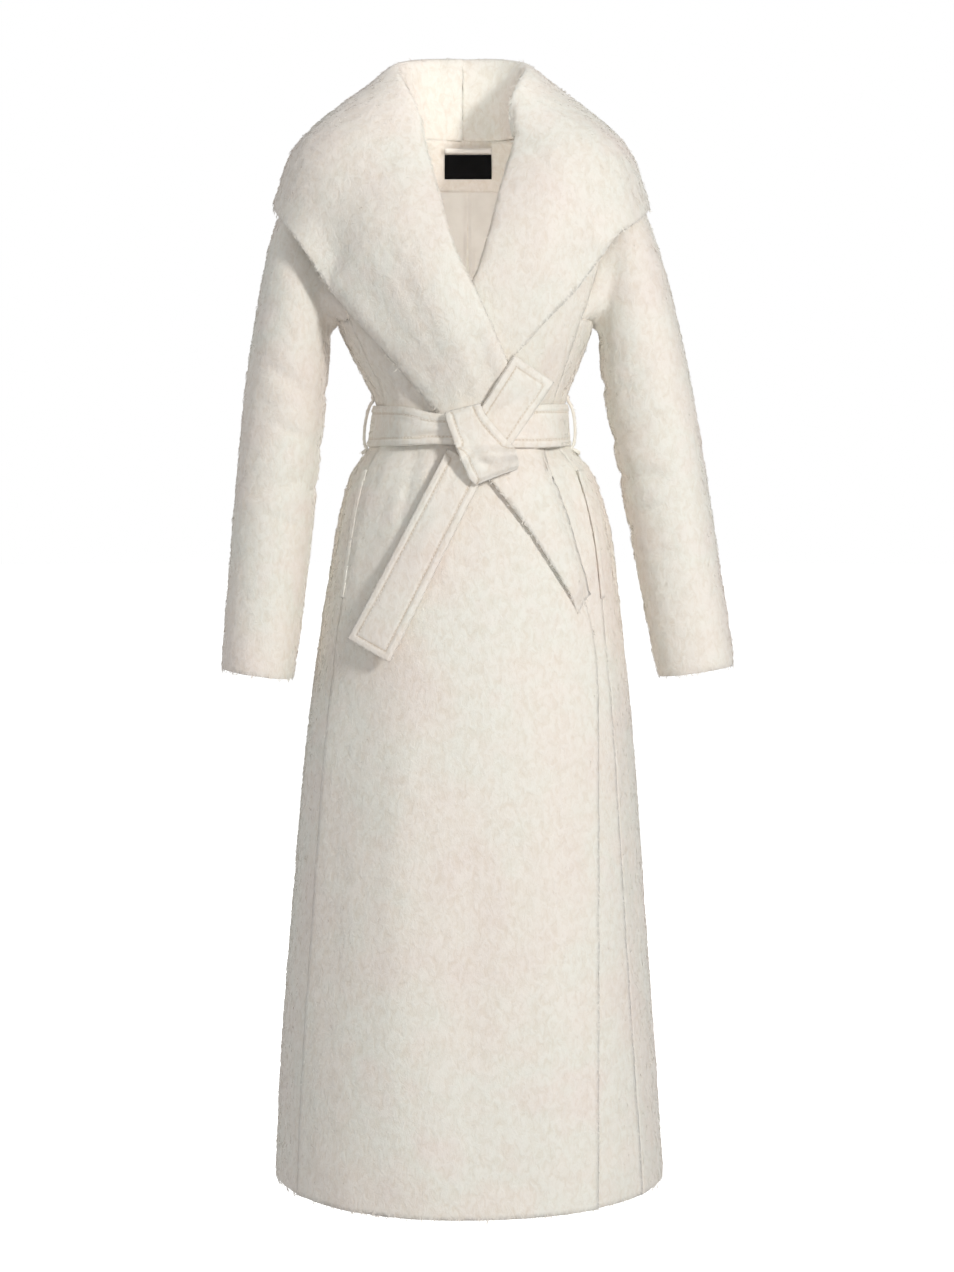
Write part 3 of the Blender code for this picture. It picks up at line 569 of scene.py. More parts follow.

# %% [markdown]
# ## Lumps, tufts and creases
# Blender's own noise is read one point at a time, which is slow for a whole coat, so a small noise
# over a whole array of points is written here: random heights on a grid of cells, blended smoothly.
#
# A crease is a soft trough or ridge along a line drawn on one side of the coat. Real creases differ
# in length, depth and spacing, so each is given one by one: its two ends, its half-width and its
# depth, with a minus for a trough. It fades at its ends, and where the cloth turns away from the
# side it was drawn on.


# %% Noise and creases on arrays of points
def lumps(points, size, seed):
    """Smooth noise from -1 to 1 at each point, with lumps about this many metres across."""
    cell = points / size
    corner = np.floor(cell).astype(np.int64)
    share = eased(cell - corner)
    total = np.zeros(len(points))
    for k in range(8):
        step = np.array([k & 1, (k >> 1) & 1, (k >> 2) & 1])
        key = (corner + step) * np.array([73856093, 19349663, 83492791])  # large primes scatter the keys
        mixed = (key[:, 0] ^ key[:, 1] ^ key[:, 2]) + seed * 2654435761
        mixed = (mixed ^ (mixed >> 13)) * 1274126177 & 0xFFFFFFFF
        mixed = (mixed ^ (mixed >> 16)) & 0xFFFF
        weight = np.prod(np.where(step == 1, share, 1 - share), axis=1)
        total += weight * (mixed / 32767.5 - 1)
    return total


SIDES = {  # the column that runs across each side, and the way that it faces
    "front": (0, np.array([0.0, -1.0, 0.0])),
    "back": (0, np.array([0.0, 1.0, 0.0])),
    "right": (1, np.array([-1.0, 0.0, 0.0])),
    "left": (1, np.array([1.0, 0.0, 0.0])),
}


def creased(points, out, tables):
    """How far out each point moves for the creases in these tables."""
    moved = np.zeros(len(points))
    for side, row in [(side, row) for table in tables for side, rows in table.items() for row in rows]:
        column, towards = SIDES[side]
        across, height, across_end, height_end, half_width, depth = np.array(row) * MM
        begin, run = np.array([across, height]), np.array([across_end - across, height_end - height])
        place = points[:, [column, 2]] - begin
        along = np.clip(place @ run / (run @ run), 0.0, 1.0)
        away = np.linalg.norm(place - along[:, None] * run, axis=1)
        fade = np.clip(np.sin(np.pi * (0.08 + 0.84 * along)), 0, 1) ** 0.7
        facing = np.clip((out @ towards) * 1.6 - 0.1, 0.0, 1.0)
        moved += depth * bell(away, half_width) * fade * facing
    return moved


print("noise at three corners of a grid:", lumps(np.eye(3) * TUFT_SIZE, TUFT_SIZE, 3).round(2))

# %% [markdown]
# ## Where the coat is creased
# The belt gathers the cloth above and below it into short folds, the wide lapels ripple softly where
# they roll, and the arms crease at the elbow, more on the inner side. The skirt hangs almost clean,
# with a few long shallow folds from the hip. What the front shows, the back gets in its own measure.

# %% Crease tables
# Rows for each side, all in mm: across and height of one end, then of the other, half-width, depth.
BODICE_CREASES = {
    "front": [
        (-58, -300, -92, -215, 6, -4), (-74, -302, -100, -250, 5, 3), (-88, -303, -118, -262, 5, -2.6),
        (80, -303, 104, -250, 6, -3), (96, -302, 112, -228, 6, 2.2),
    ],
    "back": [
        (-72, -300, -80, -222, 7, -3.4), (-36, -302, -30, -246, 6, -2.6), (10, -302, 14, -258, 6, -2),
        (52, -300, 62, -232, 7, -3.2), (86, -300, 100, -240, 6, 2.4),
    ],
    "right": [(-30, -300, -14, -236, 7, -3), (26, -300, 18, -248, 6, -2.6)],
    "left": [(-26, -300, -10, -240, 7, -3), (30, -300, 20, -236, 6, -2.4)],
}  # fmt: skip
SKIRT_CREASES = {
    "front": [
        (-62, -362, -78, -440, 6, -3.6), (-44, -364, -52, -412, 5, 3), (-86, -364, -112, -430, 7, 3),
        (-24, -366, -34, -398, 4, -3), (62, -364, 72, -408, 5, -2.6), (112, -370, 140, -460, 8, -3),
        (-140, -620, -170, -1060, 24, -3), (-75, -700, -95, -1180, 30, 3.4), (10, -780, 4, -1200, 30, -3),
        (90, -700, 100, -1190, 24, 2.8), (185, -620, 200, -1120, 16, -3),
    ],
    "back": [
        (-60, -362, -74, -450, 7, -3.6), (-18, -362, -20, -420, 6, -2.8), (34, -362, 44, -436, 7, -3.4),
        (80, -364, 104, -450, 7, 3), (-120, -560, -150, -1120, 26, 4), (-50, -640, -56, -1200, 26, -4.4),
        (40, -600, 46, -1180, 30, 4), (130, -620, 160, -1140, 24, -4),
    ],
    "right": [(-20, -380, -24, -520, 10, -2.6), (30, -400, 40, -1100, 26, 3.4)],
    "left": [(-20, -380, -26, -540, 10, -2.6), (34, -420, 44, -1080, 26, 3.4)],
}  # fmt: skip
RIGHT_SLEEVE_CREASES = {
    "front": [
        (-178, -300, -232, -262, 8, -4), (-182, -352, -226, -330, 7, -3.6), (-186, -392, -246, -410, 8, -3.2),
        (-196, -450, -240, -436, 6, -2.4), (-262, -190, -276, -330, 10, 2.6),
    ],
    "back": [
        (-180, -330, -236, -300, 8, -4), (-184, -386, -240, -372, 7, -3.6), (-192, -430, -246, -448, 8, -3),
    ],
    "left": [(-30, -300, 34, -286, 7, -3.4), (-34, -350, 30, -360, 7, -3.4), (-40, -410, 24, -400, 6, -2.8)],
}  # fmt: skip
LEFT_SLEEVE_CREASES = {
    "front": [
        (166, -292, 222, -250, 8, -4.2), (176, -346, 226, -318, 7, -4), (184, -388, 236, -392, 7.5, -3.6),
        (196, -436, 250, -418, 7, -3.2), (206, -486, 246, -478, 6, -2.4), (258, -200, 276, -350, 10, 2.4),
    ],
    "back": [(178, -336, 236, -306, 8, -4), (186, -390, 244, -380, 7, -3.4), (200, -440, 252, -452, 8, -3)],
    "right": [
        (-30, -290, 34, -276, 7, -3.6), (-34, -340, 30, -352, 7, -3.6), (-40, -396, 24, -386, 7, -3),
        (-44, -450, 20, -458, 6, -2.2),
    ],
}  # fmt: skip
COLLAR_CREASES = {
    "front": [
        (-196, -110, -40, -302, 12, 5), (196, -92, 66, -240, 12, 5),  # the lapels' outer edges stand off
        (-150, -150, -60, -270, 14, 2.2), (-96, -120, -20, -270, 12, -2.2), (-10, -230, 10, -300, 8, 2),
        (10, -215, 32, -296, 7, -1.8), (90, -90, 80, -180, 14, 2), (130, -80, 110, -160, 12, -1.8),
    ],
    "back": [
        (-90, 60, -130, -60, 14, -2.6), (70, 70, 110, -70, 14, -2.6), (-30, 60, -36, -80, 16, 2.2),
    ],
}  # fmt: skip
RIGHT_COLLAR_PRESS = {  # where its edges lie pressed into the cloth beneath
    "front": [(4, -140, 54, -258, 9, -5), (84, -330, 160, -562, 11, -6.4), (116, -574, 166, -506, 14, -7.6)],
}
POCKET_EDGE = {"front": [(-107, -366, -138, -516, 7, 2.6)]}  # the right pocket's mouth stands open
WELT_SUNK = {"front": [(-100, -340, -148, -560, 30, -3.8)]}  # and its welt lies inside it
POCKET_SHUT = {"front": [(130, -366, 164, -556, 8, -3)]}  # the left one lies flat
BELT_CREASES = {
    "front": [
        (-104, -318, -60, -330, 5, -1.4), (-72, -346, -24, -340, 3, -3.4), (-60, -337, -26, -334, 4, 1.4),
        (84, -344, 56, -338, 4, -1.2),
    ],
    "back": [(-60, -326, -10, -334, 5, -1), (30, -338, 80, -328, 5, -1)],
}  # fmt: skip
TIE_CREASES = {
    "front": [
        (26, -322, 60, -300, 5, -1.6), (-6, -372, -30, -412, 6, -1.4), (-40, -440, -62, -500, 8, 1.2),
        (-6, -338, 22, -384, 5, -1.2), (12, -372, 30, -380, 4, -1.8),
    ],
}  # fmt: skip
LINING_CREASES = {  # the lining's showing face looks inwards, so a minus is a ridge here
    "back": [
        (-1, -30, -1, -300, 1.8, 7), (3.5, -30, 3.5, -300, 2.6, -2.2), (-40, -60, -52, -270, 10, -1.4),
        (36, -70, 48, -280, 11, -1.3), (72, -60, 66, -200, 8, -1),
    ],
}  # fmt: skip
BODY = [BODICE_CREASES, SKIRT_CREASES]
print("creases on the body:", sum(len(rows) for table in BODY for rows in table.values()))

# %% [markdown]
# ## Making the shells
# Each shell is first fitted to its neighbours, then moved point by point, in three layers. The
# creases move both faces of the wall, so that it keeps its thickness. Tufts then swell the showing
# face by under a millimetre, because brushed cloth is never flat. Last, the cloth is drawn in along
# its edges, where a seam or a turned edge pulls it down: that gives each seam its soft valley and
# each free edge its roll. The edges also grow a little sideways, so that no seam stands open, and a
# sleeve's head goes under the body's cloth, as an armhole seam turns it.

# %% Shape a shell
TUFT_LUMPS = [(0.65, 9 * MM, 3), (0.55, 24 * MM, 5)]  # share of the tufts' height, size, seed
TURN_FADE = 2.5  # tufts flatten where the cloth turns edge on
EDGE_ROLL_WIDTH = 4 * MM
SEAM_EASE = 1.2 * MM  # cloth grows this much past each rim, so that a sewn seam closes
CUFF_TOP = -0.45  # a sleeve's rim below this height is its cuff
HEAD_TUCK, HEAD_REACH = 7 * MM, 9 * MM  # how far a sleeve's head goes under the body's cloth
RIM_TREES = {}
shells = {}


def array_of(mesh, kind, field):
    """A field of the mesh's points or faces, as rows of three numbers."""
    rows = getattr(mesh, kind)
    values = np.empty(len(rows) * 3, np.float64 if field == "co" else np.float32)
    rows.foreach_get(field, values)
    return values.reshape(-1, 3).astype(np.float64)


def place_points(mesh, points):
    mesh.vertices.foreach_set("co", points.ravel())
    mesh.update()


def rim_distance(node, points, name="all edges", skip=None):
    """How far each point lies from the piece's rim, or from the part of it that isn't skipped."""
    if (node, name) not in RIM_TREES:
        rim = rim_points(node, skip)
        RIM_TREES[node, name] = tree = KDTree(len(rim))
        for i, point in enumerate(rim):
            tree.insert(point, i)
        tree.balance()
    return np.array([RIM_TREES[node, name].find(point)[2] for point in points])


def shape_shell(shell, node, creases, tuft_height, edge_roll):
    """Fits a shell, presses the creases into it, raises its tufts and draws in its edges."""
    points = fitted(node, array_of(shell.data, "vertices", "co"))
    place_points(shell.data, points)
    normals = array_of(shell.data, "vertex_normals", "vector")
    out = outward(node, points)
    facing = (normals * out).sum(axis=1)
    shown = np.clip((np.abs(facing) if node in BOTH_FACES_SHOW else facing) * TURN_FADE, 0, 1)
    swell = tuft_height * sum(share * lumps(points, size, seed) for share, size, seed in TUFT_LUMPS)
    moved = out * creased(points, out, creases)[:, None]
    if edge_roll:
        near = rim_distance(node, points)
        swell -= edge_roll * bell(near, EDGE_ROLL_WIDTH)
        moved += (normals - out * facing[:, None]) * (SEAM_EASE * bell(near, SEAM_EASE))[:, None]
        if node in SLEEVE_AXES:
            head = bell(near, HEAD_REACH) * (points[:, 2] > CUFF_TOP)
            moved -= unit(points * LEVEL) * (HEAD_TUCK * head)[:, None]
    place_points(shell.data, points + moved + normals * (swell * shown)[:, None])
    shell.data.polygons.foreach_set("use_smooth", np.ones(len(shell.data.polygons), bool))


def triangle_count(*pieces):
    total = 0
    for piece in pieces:
        piece.data.calc_loop_triangles()
        total += len(piece.data.loop_triangles)
    return total


def cloth_area(piece):
    """The area of one layer of a closed shell."""
    return sum(face.area for face in piece.data.polygons) / 2


def make_shell(node, finish, longest, creases, tuft=0.0, roll=0.0, levels=1):
    """Refines a node's wall, shapes it and gives it its finish; lengths in mm."""
    shell = refined(node, levels, longest * MM)
    shape_shell(shell, node, creases, tuft * MM, roll * MM)
    shell.data.materials.clear()
    shell.data.materials.append(finish)
    shells[node] = shell
    print(f"{shell.name}: {triangle_count(shell)} triangles, {cloth_area(shell):.3f} m2 a layer")
    return shell


print("a seam draws the cloth in over", EDGE_ROLL_WIDTH / MM, "mm, and closes by", SEAM_EASE / MM, "mm")

# %% [markdown]
# ## The coat's own pieces
# The side panels roll in most along their seams, because the fronts and the back lie over them there.
# The collar is double cloth that shows both its faces, so it is the only piece with tufts on both.

# %% Shells of the coat's own pieces
# node: longest edge in mm, creases, tuft height in mm, edge roll in mm
SHELL_PLAN = {
    "front_right": (8.0, [*BODY, POCKET_EDGE], 0.7, 0.2),
    "front_left": (8.0, BODY, 0.7, 0.2),
    "side_right": (8.0, BODY, 0.7, 1.3),
    "side_left": (8.0, [*BODY, POCKET_SHUT], 0.7, 0.7),
    "back": (8.0, BODY, 0.7, 0.2),
    "sleeve_right": (7.5, [RIGHT_SLEEVE_CREASES], 0.9, 0.8),
    "sleeve_left": (7.5, [LEFT_SLEEVE_CREASES], 0.9, 0.8),
    "collar_right": (7.5, [COLLAR_CREASES, RIGHT_COLLAR_PRESS], 0.8, 0.6),
    "collar_left": (7.5, [COLLAR_CREASES], 0.8, 0.6),
    "back_neck_facing": (6.0, [], 0.3, 0.2),
    "pocket_welt_right": (6.0, [WELT_SUNK], 0.3, 0.3),
    "pocket_welt_left": (6.0, [SKIRT_CREASES], 0.3, 0.3),
}
for node, plan in SHELL_PLAN.items():
    make_shell(node, coat_finish, *plan)

# %% [markdown]
# ## Lining, label and hanger loop
# Only what the open neck shows of the inside is here. The satin lining has a pleat down the middle
# of the back, so that the wearer can move their arms without tearing it, and it ripples softly
# because it is cut a little wider than the coat. The label and the loop are narrow woven tapes.

# %% Shells of the lining, the label and the loop
make_shell("back_lining", satin_finish, 2.6, [LINING_CREASES])
make_shell("neck_label", label_finish, 4.0, [])
make_shell("hanger_loop", satin_finish, 4.0, [])

# %% [markdown]
# ## The belt and its topstitching
# The belt is a tube of the coat cloth, turned and pressed, with a row of stitches close inside both
# edges. The stitches pull the cloth down into a narrow groove, and the margin outside them stays
# plump. The groove could be painted with a bump, but it is what catches the light along the belt,
# so it is pressed into the shell at its real depth, and shade is painted into its colour as well.
#
# The tie hides some of its edges: an end under the knot has no row of stitches across it. So each
# strip says which way it runs, and where the ends lie that the stitches stop short of.

# %% Shells of the belt
STITCH_INSET = 8.5 * MM
GROOVE_DEPTH, GROOVE_WIDTH = 1.1 * MM, 1.5 * MM
MARGIN_HEIGHT, MARGIN_PLACE, MARGIN_WIDTH = 0.5, 0.5, 1.3  # shares of the groove's depth, inset and width
PLUMP = 0.9 * MM  # a carrier is a narrow rolled strip, fuller than its flat solid
STRIP_RUNS = {
    "belt_knot": (Vector((0.40, 0.0, -0.92)), lambda middle: True),
    "belt_tail_upper": (Vector((0.53, 0.0, 0.85)), lambda middle: middle.z < -0.290),
    "belt_tail_lower": (Vector((-0.47, 0.0, -0.88)), lambda middle: middle.z > -0.420),
}
ALONG = 0.72  # an edge whose direction agrees with the run less than this lies across the strip
KNOT_TURN, KNOT_OUTER = -0.362, 0.012  # below and past this, the knot's outer edge turns under


def seam_distance(node, points):
    """How far each point lies from the edges that a row of stitches follows."""
    if node not in STRIP_RUNS:
        return rim_distance(node, points)
    run, hidden = STRIP_RUNS[node]

    def skip(one, other):
        middle = (one + other) / 2
        turned_under = node == "belt_knot" and middle.z < KNOT_TURN and middle.x > KNOT_OUTER
        return turned_under or (abs((other - one).normalized().dot(run)) < ALONG and hidden(middle))

    return rim_distance(node, points, "stitched edges", skip)


def press_groove(shell, node):
    """Sinks the line of stitches, leaves the margin outside it plump, and marks the groove for its painted
    shade.
    """
    points = array_of(shell.data, "vertices", "co")
    normals = array_of(shell.data, "vertex_normals", "vector")
    shown = np.clip((normals * outward(node, points)).sum(axis=1) * 2, 0, 1)
    away = seam_distance(node, points)
    groove = bell(away - STITCH_INSET, GROOVE_WIDTH)
    margin = MARGIN_HEIGHT * bell(away - STITCH_INSET * MARGIN_PLACE, GROOVE_WIDTH * MARGIN_WIDTH)
    place_points(shell.data, points + normals * (GROOVE_DEPTH * (margin - groove) * shown)[:, None])
    # the field marks where the belt's finish paints shade into the groove
    field = shell.data.attributes.new(GROOVE_SHADE_FIELD, "FLOAT", "POINT")
    field.data.foreach_set("value", (groove * shown).astype(np.float32))
    shell.data.update()


STITCHED = ("belt_waist", "belt_tail_upper", "belt_tail_lower", "belt_knot")
for node in STITCHED:
    longest, creases = (2.4, [TIE_CREASES]) if node in TIE else (2.6, [BELT_CREASES])
    press_groove(make_shell(node, belt_finish, longest, creases, 0.3, 0.5, levels=2), node)
for node in ("belt_loop_right", "belt_loop_left"):
    mesh = make_shell(node, belt_finish, 3.0, [], 0.3, 0.5, levels=2).data
    place_points(mesh, array_of(mesh, "vertices", "co") + array_of(mesh, "vertex_normals", "vector") * PLUMP)

# %% [markdown]
# ## Stitches
# A lockstitch shows as short dashes of thread, each sunk into the cloth at both ends. Here each is a
# small six-sided spindle, 3 mm long, laid every 4.6 mm along a line that follows the piece's edge.
# To find that line, the edges of the outer face are chained into a loop, the loop is walked at the
# stitch's pitch, and each place is moved inwards and dropped onto the shell from above. A place that
# doesn't land in the groove is left out, so no stitch lies on an edge or across a fold.

# %% Lay the stitches
STITCH_PITCH, STITCH_LENGTH, THREAD_RADIUS = 4.6 * MM, 3.0 * MM, 0.48 * MM
STITCH_RISE, END_SUNK = 0.1 * MM, 0.35 * MM  # its middle stands off the cloth, its ends are sunk
DROP_HEIGHT = 9 * MM
STITCH_STRAY = 1.8 * MM  # how far from the middle of the groove a stitch may land
LOOK_AHEAD = 3 * MM
SPINDLE_SIDES, SPINDLE_WAIST = 6, 0.22  # its two rings lie this share of its length from the middle


def edge_loops(node):
    """The outer face's edges, chained into loops of points."""
    bm, _, rim = paired_faces(node)
    bm.normal_update()
    ends = {}
    for edge in bm.edges:
        cloth_faces = [face for face in edge.link_faces if face not in rim]
        if len(cloth_faces) != 1 or len(edge.link_faces) != 2:
            continue
        out = outward(node, np.array([cloth_faces[0].calc_center_median()]))[0]
        if cloth_faces[0].normal.dot(Vector(out)) > 0:
            one, other = edge.verts
            ends.setdefault(one.index, []).append(other.index)
            ends.setdefault(other.index, []).append(one.index)
    places = fitted(node, np.array([vert.co for vert in bm.verts]))
    bm.free()
    loops = []
    left = set(ends)
    while left:
        loop, here, before = [], min(left), None
        while here is not None and here in left:
            left.discard(here)
            loop.append(places[here])
            onwards = [v for v in ends[here] if v != before and v in left]
            before, here = here, onwards[0] if onwards else None
        if len(loop) > 3:
            loops.append(loop)
    return loops


def evenly(loop, pitch):
    """Points and directions along a closed loop, one pitch apart."""
    points = np.array([*loop, loop[0]])
    lengths = np.concatenate([[0.0], np.cumsum(np.linalg.norm(np.diff(points, axis=0), axis=1))])
    places = np.arange(pitch / 2, lengths[-1], pitch)
    spots, ahead = (
        np.stack([np.interp(at, lengths, points[:, k]) for k in range(3)], axis=1)
        for at in (places, places + LOOK_AHEAD)
    )
    return spots, unit(ahead - spots)


def tree_of(*pieces):
    """One search tree over the faces of these pieces."""
    verts, faces = [], []
    for piece in pieces:
        start = len(verts)
        verts += [v.co.copy() for v in piece.data.vertices]
        faces += [[start + i for i in face.vertices] for face in piece.data.polygons]
    return BVHTree.FromPolygons(verts, faces)


def mesh_piece(name, points, triangles, finish):
    """A piece made of many small triangles, from arrays."""
    mesh = bpy.data.meshes.new(name)
    mesh.vertices.add(len(points))
    mesh.vertices.foreach_set("co", points.astype(np.float32).ravel())
    mesh.loops.add(triangles.size)
    mesh.loops.foreach_set("vertex_index", triangles.astype(np.int32).ravel())
    mesh.polygons.add(len(triangles))
    mesh.polygons.foreach_set("loop_start", np.arange(0, triangles.size, 3, dtype=np.int32))
    mesh.update(calc_edges=True)
    mesh.materials.append(finish)
    piece = bpy.data.objects.new(name, mesh)
    bpy.context.collection.objects.link(piece)
    return piece


def stitch_places(node):
    """The middle of each stitch on a belt piece, the way it runs, and the way up from the cloth."""
    tree = tree_of(shells[node])
    found = []
    for loop in edge_loops(node):
        spots, along = evenly(loop, STITCH_PITCH)
        for spot, run, out in zip(spots, along, outward(node, spots)):
            for inwards in (np.cross(out, run), -np.cross(out, run)):  # one of them leads into the piece
                above = Vector(spot + inwards * STITCH_INSET + out * DROP_HEIGHT)
                place, normal, _, _ = tree.ray_cast(above, Vector(-out), 2 * DROP_HEIGHT)
                if place is not None and abs(seam_distance(node, [place])[0] - STITCH_INSET) <= STITCH_STRAY:
                    found.append((place + normal * STITCH_RISE, run, normal))
                    break
    centres, runs, tops = (np.array(rows, np.float64) for rows in zip(*found))
    runs -= tops * (runs * tops).sum(axis=1, keepdims=True)
    return centres, unit(runs), tops


def stitches_on(node):
    """A row of stitches inside the edges of a belt piece, as spindles from tip to tip."""
    centres, runs, tops = stitch_places(node)
    sides = np.cross(runs, tops)
    turns = 2 * math.pi * np.arange(SPINDLE_SIDES) / SPINDLE_SIDES
    points = [centres - runs * STITCH_LENGTH / 2 - tops * END_SUNK]
    for ring in (-SPINDLE_WAIST, SPINDLE_WAIST):
        middle = centres + runs * ring * STITCH_LENGTH
        points += [middle + (sides * math.cos(t) + tops * math.sin(t)) * THREAD_RADIUS for t in turns]
    points.append(centres + runs * STITCH_LENGTH / 2 - tops * END_SUNK)
    shape = []
    for k in range(SPINDLE_SIDES):
        one, two = 1 + k, 1 + (k + 1) % SPINDLE_SIDES  # on the first ring, and on the second beyond it
        three, four = one + SPINDLE_SIDES, two + SPINDLE_SIDES
        shape += [(0, two, one), (one, two, three), (two, four, three), (len(points) - 1, three, four)]
    starts = len(points) * np.arange(len(centres))
    triangles = (np.array(shape)[None] + starts[:, None, None]).reshape(-1, 3)
    return mesh_piece(node + "_stitches", np.stack(points, axis=1).reshape(-1, 3), triangles, thread_finish)


stitches = {}
for node in STITCHED:
    stitches[node] = stitches_on(node)
    print(f"{stitches[node].name}: {triangle_count(stitches[node]) // (4 * SPINDLE_SIDES)} stitches")

# %% [markdown]
# ## The nap
# Brushing pulls fibres out of the yarn until they stand off the cloth in small curls that mostly
# hang down but turn every way. Blender's hair could grow them, but it leaves no mesh for the exported
# model, so each lock is a narrow blade of two triangles: rooted in the cloth, widest in the middle,
# where it bends sideways, and pointed at its tip. Their roots are spread evenly over the cloth by
# area, their direction swirls with a slow noise and a fast one, and each lock lies over at its own
# roll, so the light finds some and misses others, as in real fleece.
#
# A flat blade would flash like a mirror's edge, so its shading mostly follows the cloth beneath it.
# Locks grow short along seams and edges, and none grows on a narrow rim, on a row of stitches, or
# where another piece covers the cloth.

# %% Grow the locks
COVERED = 7 * MM  # a root with cloth this close in front of it grows no lock
BEHIND_CLOTH = -0.15  # a face that looks inwards more than this is the wall's back
RIM_TURN, RIM_SHARE = 0.6, 0.6  # a face turned edge on, and this share of a wall from the rim, is bare
STITCH_CLEAR = 1.7 * MM
ROOT_SUNK = 0.4 * MM
EDGE_REACH = 9 * MM  # locks are shorter this close to an edge
LOCK_WIDTH = 0.90 * MM
LOCK_LEAN = 0.20  # how far a lock's shading turns with its roll; the rest follows the cloth beneath it
BLADE = ((0, 1, 2), (1, 3, 2))  # its root, its two sides and its tip
everything = tree_of(*shells.values())


def lock_roots(node, density, rng):
    """Places on a shell, spread evenly by area, that nothing covers, and the way up from each."""
    mesh = shells[node].data
    mesh.calc_loop_triangles()
    corners = np.empty(len(mesh.loop_triangles) * 3, np.int32)
    mesh.loop_triangles.foreach_get("vertices", corners)
    corners = array_of(mesh, "vertices", "co")[corners.reshape(-1, 3)]
    cross = np.cross(corners[:, 1] - corners[:, 0], corners[:, 2] - corners[:, 0])
    area = np.linalg.norm(cross, axis=1) / 2
    normal = cross / np.maximum(2 * area[:, None], 1e-12)
    middles = corners.mean(axis=1)
    facing = (normal * outward(node, middles)).sum(axis=1)
    if node not in BOTH_FACES_SHOW:
        area = area * (facing > BEHIND_CLOTH)
    area = area * ~((np.abs(facing) < RIM_TURN) & (rim_distance(node, middles) < RIM_SHARE * WALLS[node]))
    count = int(density * area.sum())
    steps = np.cumsum(area)
    chosen = np.minimum(np.searchsorted(steps, rng.random(count) * steps[-1]), len(area) - 1)
    a, b = rng.random(count), rng.random(count)
    a, b = np.where(a + b > 1, 1 - a, a), np.where(a + b > 1, 1 - b, b)
    first, second, third = corners[chosen].transpose(1, 0, 2)
    root = first + (second - first) * a[:, None] + (third - first) * b[:, None]
    top = normal[chosen]
    free = np.array([
        everything.ray_cast(Vector(spot + up * 0.5 * MM), Vector(up), COVERED)[0] is None
        for spot, up in zip(root, top)
    ])  # fmt: skip
    root, top = root[free], top[free]
    if node in stitches:
        clear = np.abs(seam_distance(node, root) - STITCH_INSET) > STITCH_CLEAR
        root, top = root[clear], top[clear]
    return root, top


def nap_on(node, density, length, lift, edge_length, seed):
    """Locks of hair over a shell; density is in locks for each square metre."""
    rng = np.random.default_rng(seed)
    root, top = lock_roots(node, density, rng)
    near = rim_distance(node, root)
    count = len(root)

    fall = np.tile(np.array([0.0, 0.0, -1.0]), (count, 1)) + 0.15 * rng.normal(size=(count, 3))
    fall = unit(fall - top * (fall * top).sum(axis=1, keepdims=True))
    beside = np.cross(top, fall)
    swirl = 1.25 * lumps(root, 26 * MM, seed + 1) + 1.1 * lumps(root, 9 * MM, seed + 2)
    swirl += 0.45 * rng.normal(size=count)
    curl = 0.9 * lumps(root, 14 * MM, seed + 3) + 0.7 * rng.normal(size=count)
    short = edge_length + (1 - edge_length) * np.clip(near / EDGE_REACH, 0, 1)
    own_length = length * short * rng.uniform(0.65, 1.25, count)
    own_lift = lift * short**2 * rng.uniform(0.3, 1.0, count) * (1 + 0.5 * lumps(root, 11 * MM, seed + 4))
    width = LOCK_WIDTH * rng.uniform(0.6, 1.3, count)
    roll = rng.uniform(-0.8, 0.8, count)

    def heading(angle):
        return fall * np.cos(angle)[:, None] + beside * np.sin(angle)[:, None]

    middle = root + heading(swirl) * (0.5 * own_length)[:, None] + top * own_lift[:, None]
    tip = middle + heading(swirl + curl) * (0.5 * own_length)[:, None]
    tip += top * (own_lift * rng.uniform(-0.6, 0.5, count))[:, None]
    across = np.cross(top, heading(swirl)) * np.cos(roll)[:, None] + top * np.sin(roll)[:, None]
    half = across * (width / 2)[:, None]
    points = np.stack([root - top * ROOT_SUNK, middle - half, middle + half, tip], axis=1)
    halves = []
    for corners in BLADE:  # each is turned so that it faces away from the cloth
        one, two, three = (points[:, k] for k in corners)
        turned = (np.cross(two - one, three - one) * top).sum(axis=1) < 0
        order = np.where(turned[:, None], np.array(corners)[::-1], np.array(corners))
        halves.append(order + 4 * np.arange(count)[:, None])
    triangles = np.stack(halves, axis=1).reshape(-1, 3)
    piece = mesh_piece(node + "_nap", points.reshape(-1, 3), triangles, nap_finish)
    piece.data.polygons.foreach_set("use_smooth", np.ones(len(triangles), bool))
    piece.visible_shadow = False  # fine hair lets the light through to the hair beneath it
    piece.visible_diffuse = False
    combed = np.repeat(top + across * np.sin(roll)[:, None] * LOCK_LEAN, 4, axis=0)
    piece.data.normals_split_custom_set_from_vertices(unit(combed).astype(np.float32))
    return piece


# pieces: locks for each square metre, length and lift in mm, share of length at the edges
NAP_PLAN = {
    ("front_right", "front_left"): (130000, 9.5, 1.3, 0.60),
    ("side_right", "side_left", "back"): (130000, 9.5, 1.3, 0.90),
    ("sleeve_right", "sleeve_left"): (130000, 9.5, 1.4, 0.70),
    ("collar_right", "collar_left"): (130000, 9.5, 1.4, 0.60),
    ("pocket_welt_right", "pocket_welt_left"): (100000, 8.0, 1.2, 0.60),
    STITCHED: (90000, 6.0, 0.8, 0.60),
    ("belt_loop_right", "belt_loop_left"): (90000, 5.0, 0.7, 0.70),
}
naps = {}
for nodes, (density, length, lift, edge_length) in NAP_PLAN.items():
    for node in nodes:
        seed = 100 + 10 * len(naps)
        naps[node] = nap_on(node, density, length * MM, lift * MM, edge_length, seed)
        print(f"{naps[node].name}: {triangle_count(naps[node])} triangles")
print("triangles in all:", triangle_count(*shells.values(), *stitches.values(), *naps.values()))
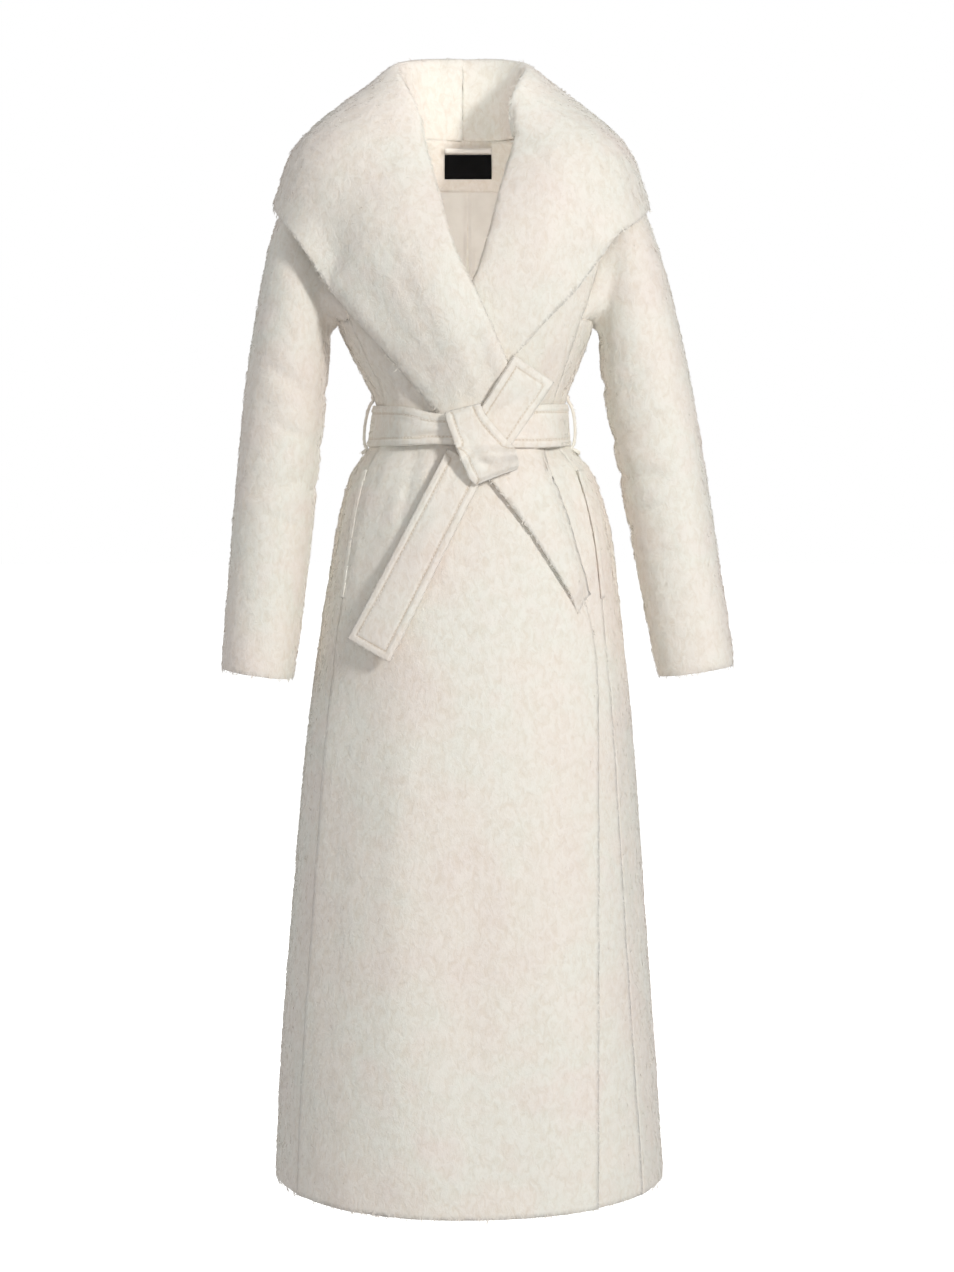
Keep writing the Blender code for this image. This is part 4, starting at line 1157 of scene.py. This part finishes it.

# %% [markdown]
# ## What each piece is, and how it was cut
# Each piece of cloth is listed with the cut piece it stands for, how large that piece was when it
# lay flat on the cutting table, and what it hangs from. Most cuts aren't rectangles, so each has its
# own area as well, and only that area is read here, to print how much larger each cut is than its
# worn layer. The panels hang from the shoulder seams; the collar and the belt ends lie on the fronts.
# Each shell, with its stitches and nap, is attached to the coat's body, and the solid it stands for
# is hidden.

# %% Attach the cloth to the coat's body and hide the solids
# node: slot, flat width, flat length, flat area, how it is held, what it hangs from or lies on
CUTS = {
    "front_right": ("coat_cloth", 0.460, 1.330, 0.385, "hung", ["back"]),
    "front_left": ("coat_cloth", 0.350, 1.330, 0.300, "hung", ["back"]),
    "side_right": ("coat_cloth", 0.240, 1.060, 0.180, "hung", ["back"]),
    "side_left": ("coat_cloth", 0.240, 1.060, 0.180, "hung", ["back"]),
    "back": ("coat_cloth", 0.500, 1.300, 0.470, "hung", ["collar_right", "collar_left"]),
    "sleeve_right": ("coat_cloth", 0.380, 0.640, 0.180, "hung", ["back", "front_right"]),
    "sleeve_left": ("coat_cloth", 0.380, 0.640, 0.185, "hung", ["back", "front_left"]),
    "collar_right": ("coat_cloth", 0.260, 0.960, 0.168, "draped", ["front_right", "back"]),
    "collar_left": ("coat_cloth", 0.260, 0.720, 0.125, "draped", ["front_left", "back"]),
    "back_neck_facing": ("coat_cloth", 0.350, 0.060, 0.0190, "hung", ["back"]),
    "back_lining": ("lining", 0.350, 0.270, 0.0850, "hung", ["back_neck_facing"]),
    "neck_label": ("label", 0.060, 0.030, 0.0018, "hung", ["back_neck_facing"]),
    "hanger_loop": ("lining", 0.064, 0.010, 0.0006, "hung", ["back_neck_facing"]),
    "belt_waist": ("belt_cloth", 0.050, 0.720, 0.0355, "draped", ["front_right", "back"]),
    "belt_tail_upper": ("belt_cloth", 0.055, 0.100, 0.0050, "draped", ["front_right"]),
    "belt_tail_lower": ("belt_cloth", 0.055, 0.280, 0.0150, "draped", ["front_right"]),
    "belt_knot": ("belt_cloth", 0.070, 0.095, 0.0060, "folded", ["belt_waist"]),
    "belt_loop_right": ("belt_cloth", 0.013, 0.080, 0.00104, "hung", ["side_right"]),
    "belt_loop_left": ("belt_cloth", 0.013, 0.080, 0.00104, "hung", ["side_left"]),
    "pocket_welt_right": ("coat_cloth", 0.010, 0.150, 0.0012, "hung", ["front_right"]),
    "pocket_welt_left": ("coat_cloth", 0.010, 0.150, 0.0012, "hung", ["front_left"]),
}
for node, (slot, width, length, area, held, rests_on) in CUTS.items():
    with_it = [group[node] for group in (stitches, naps) if node in group]
    for piece in [shells[node], *with_it]:
        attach(piece, "root")
    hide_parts(node)
    print(f"{node}: cut {area / cloth_area(shells[node]):.2f} times its worn area")
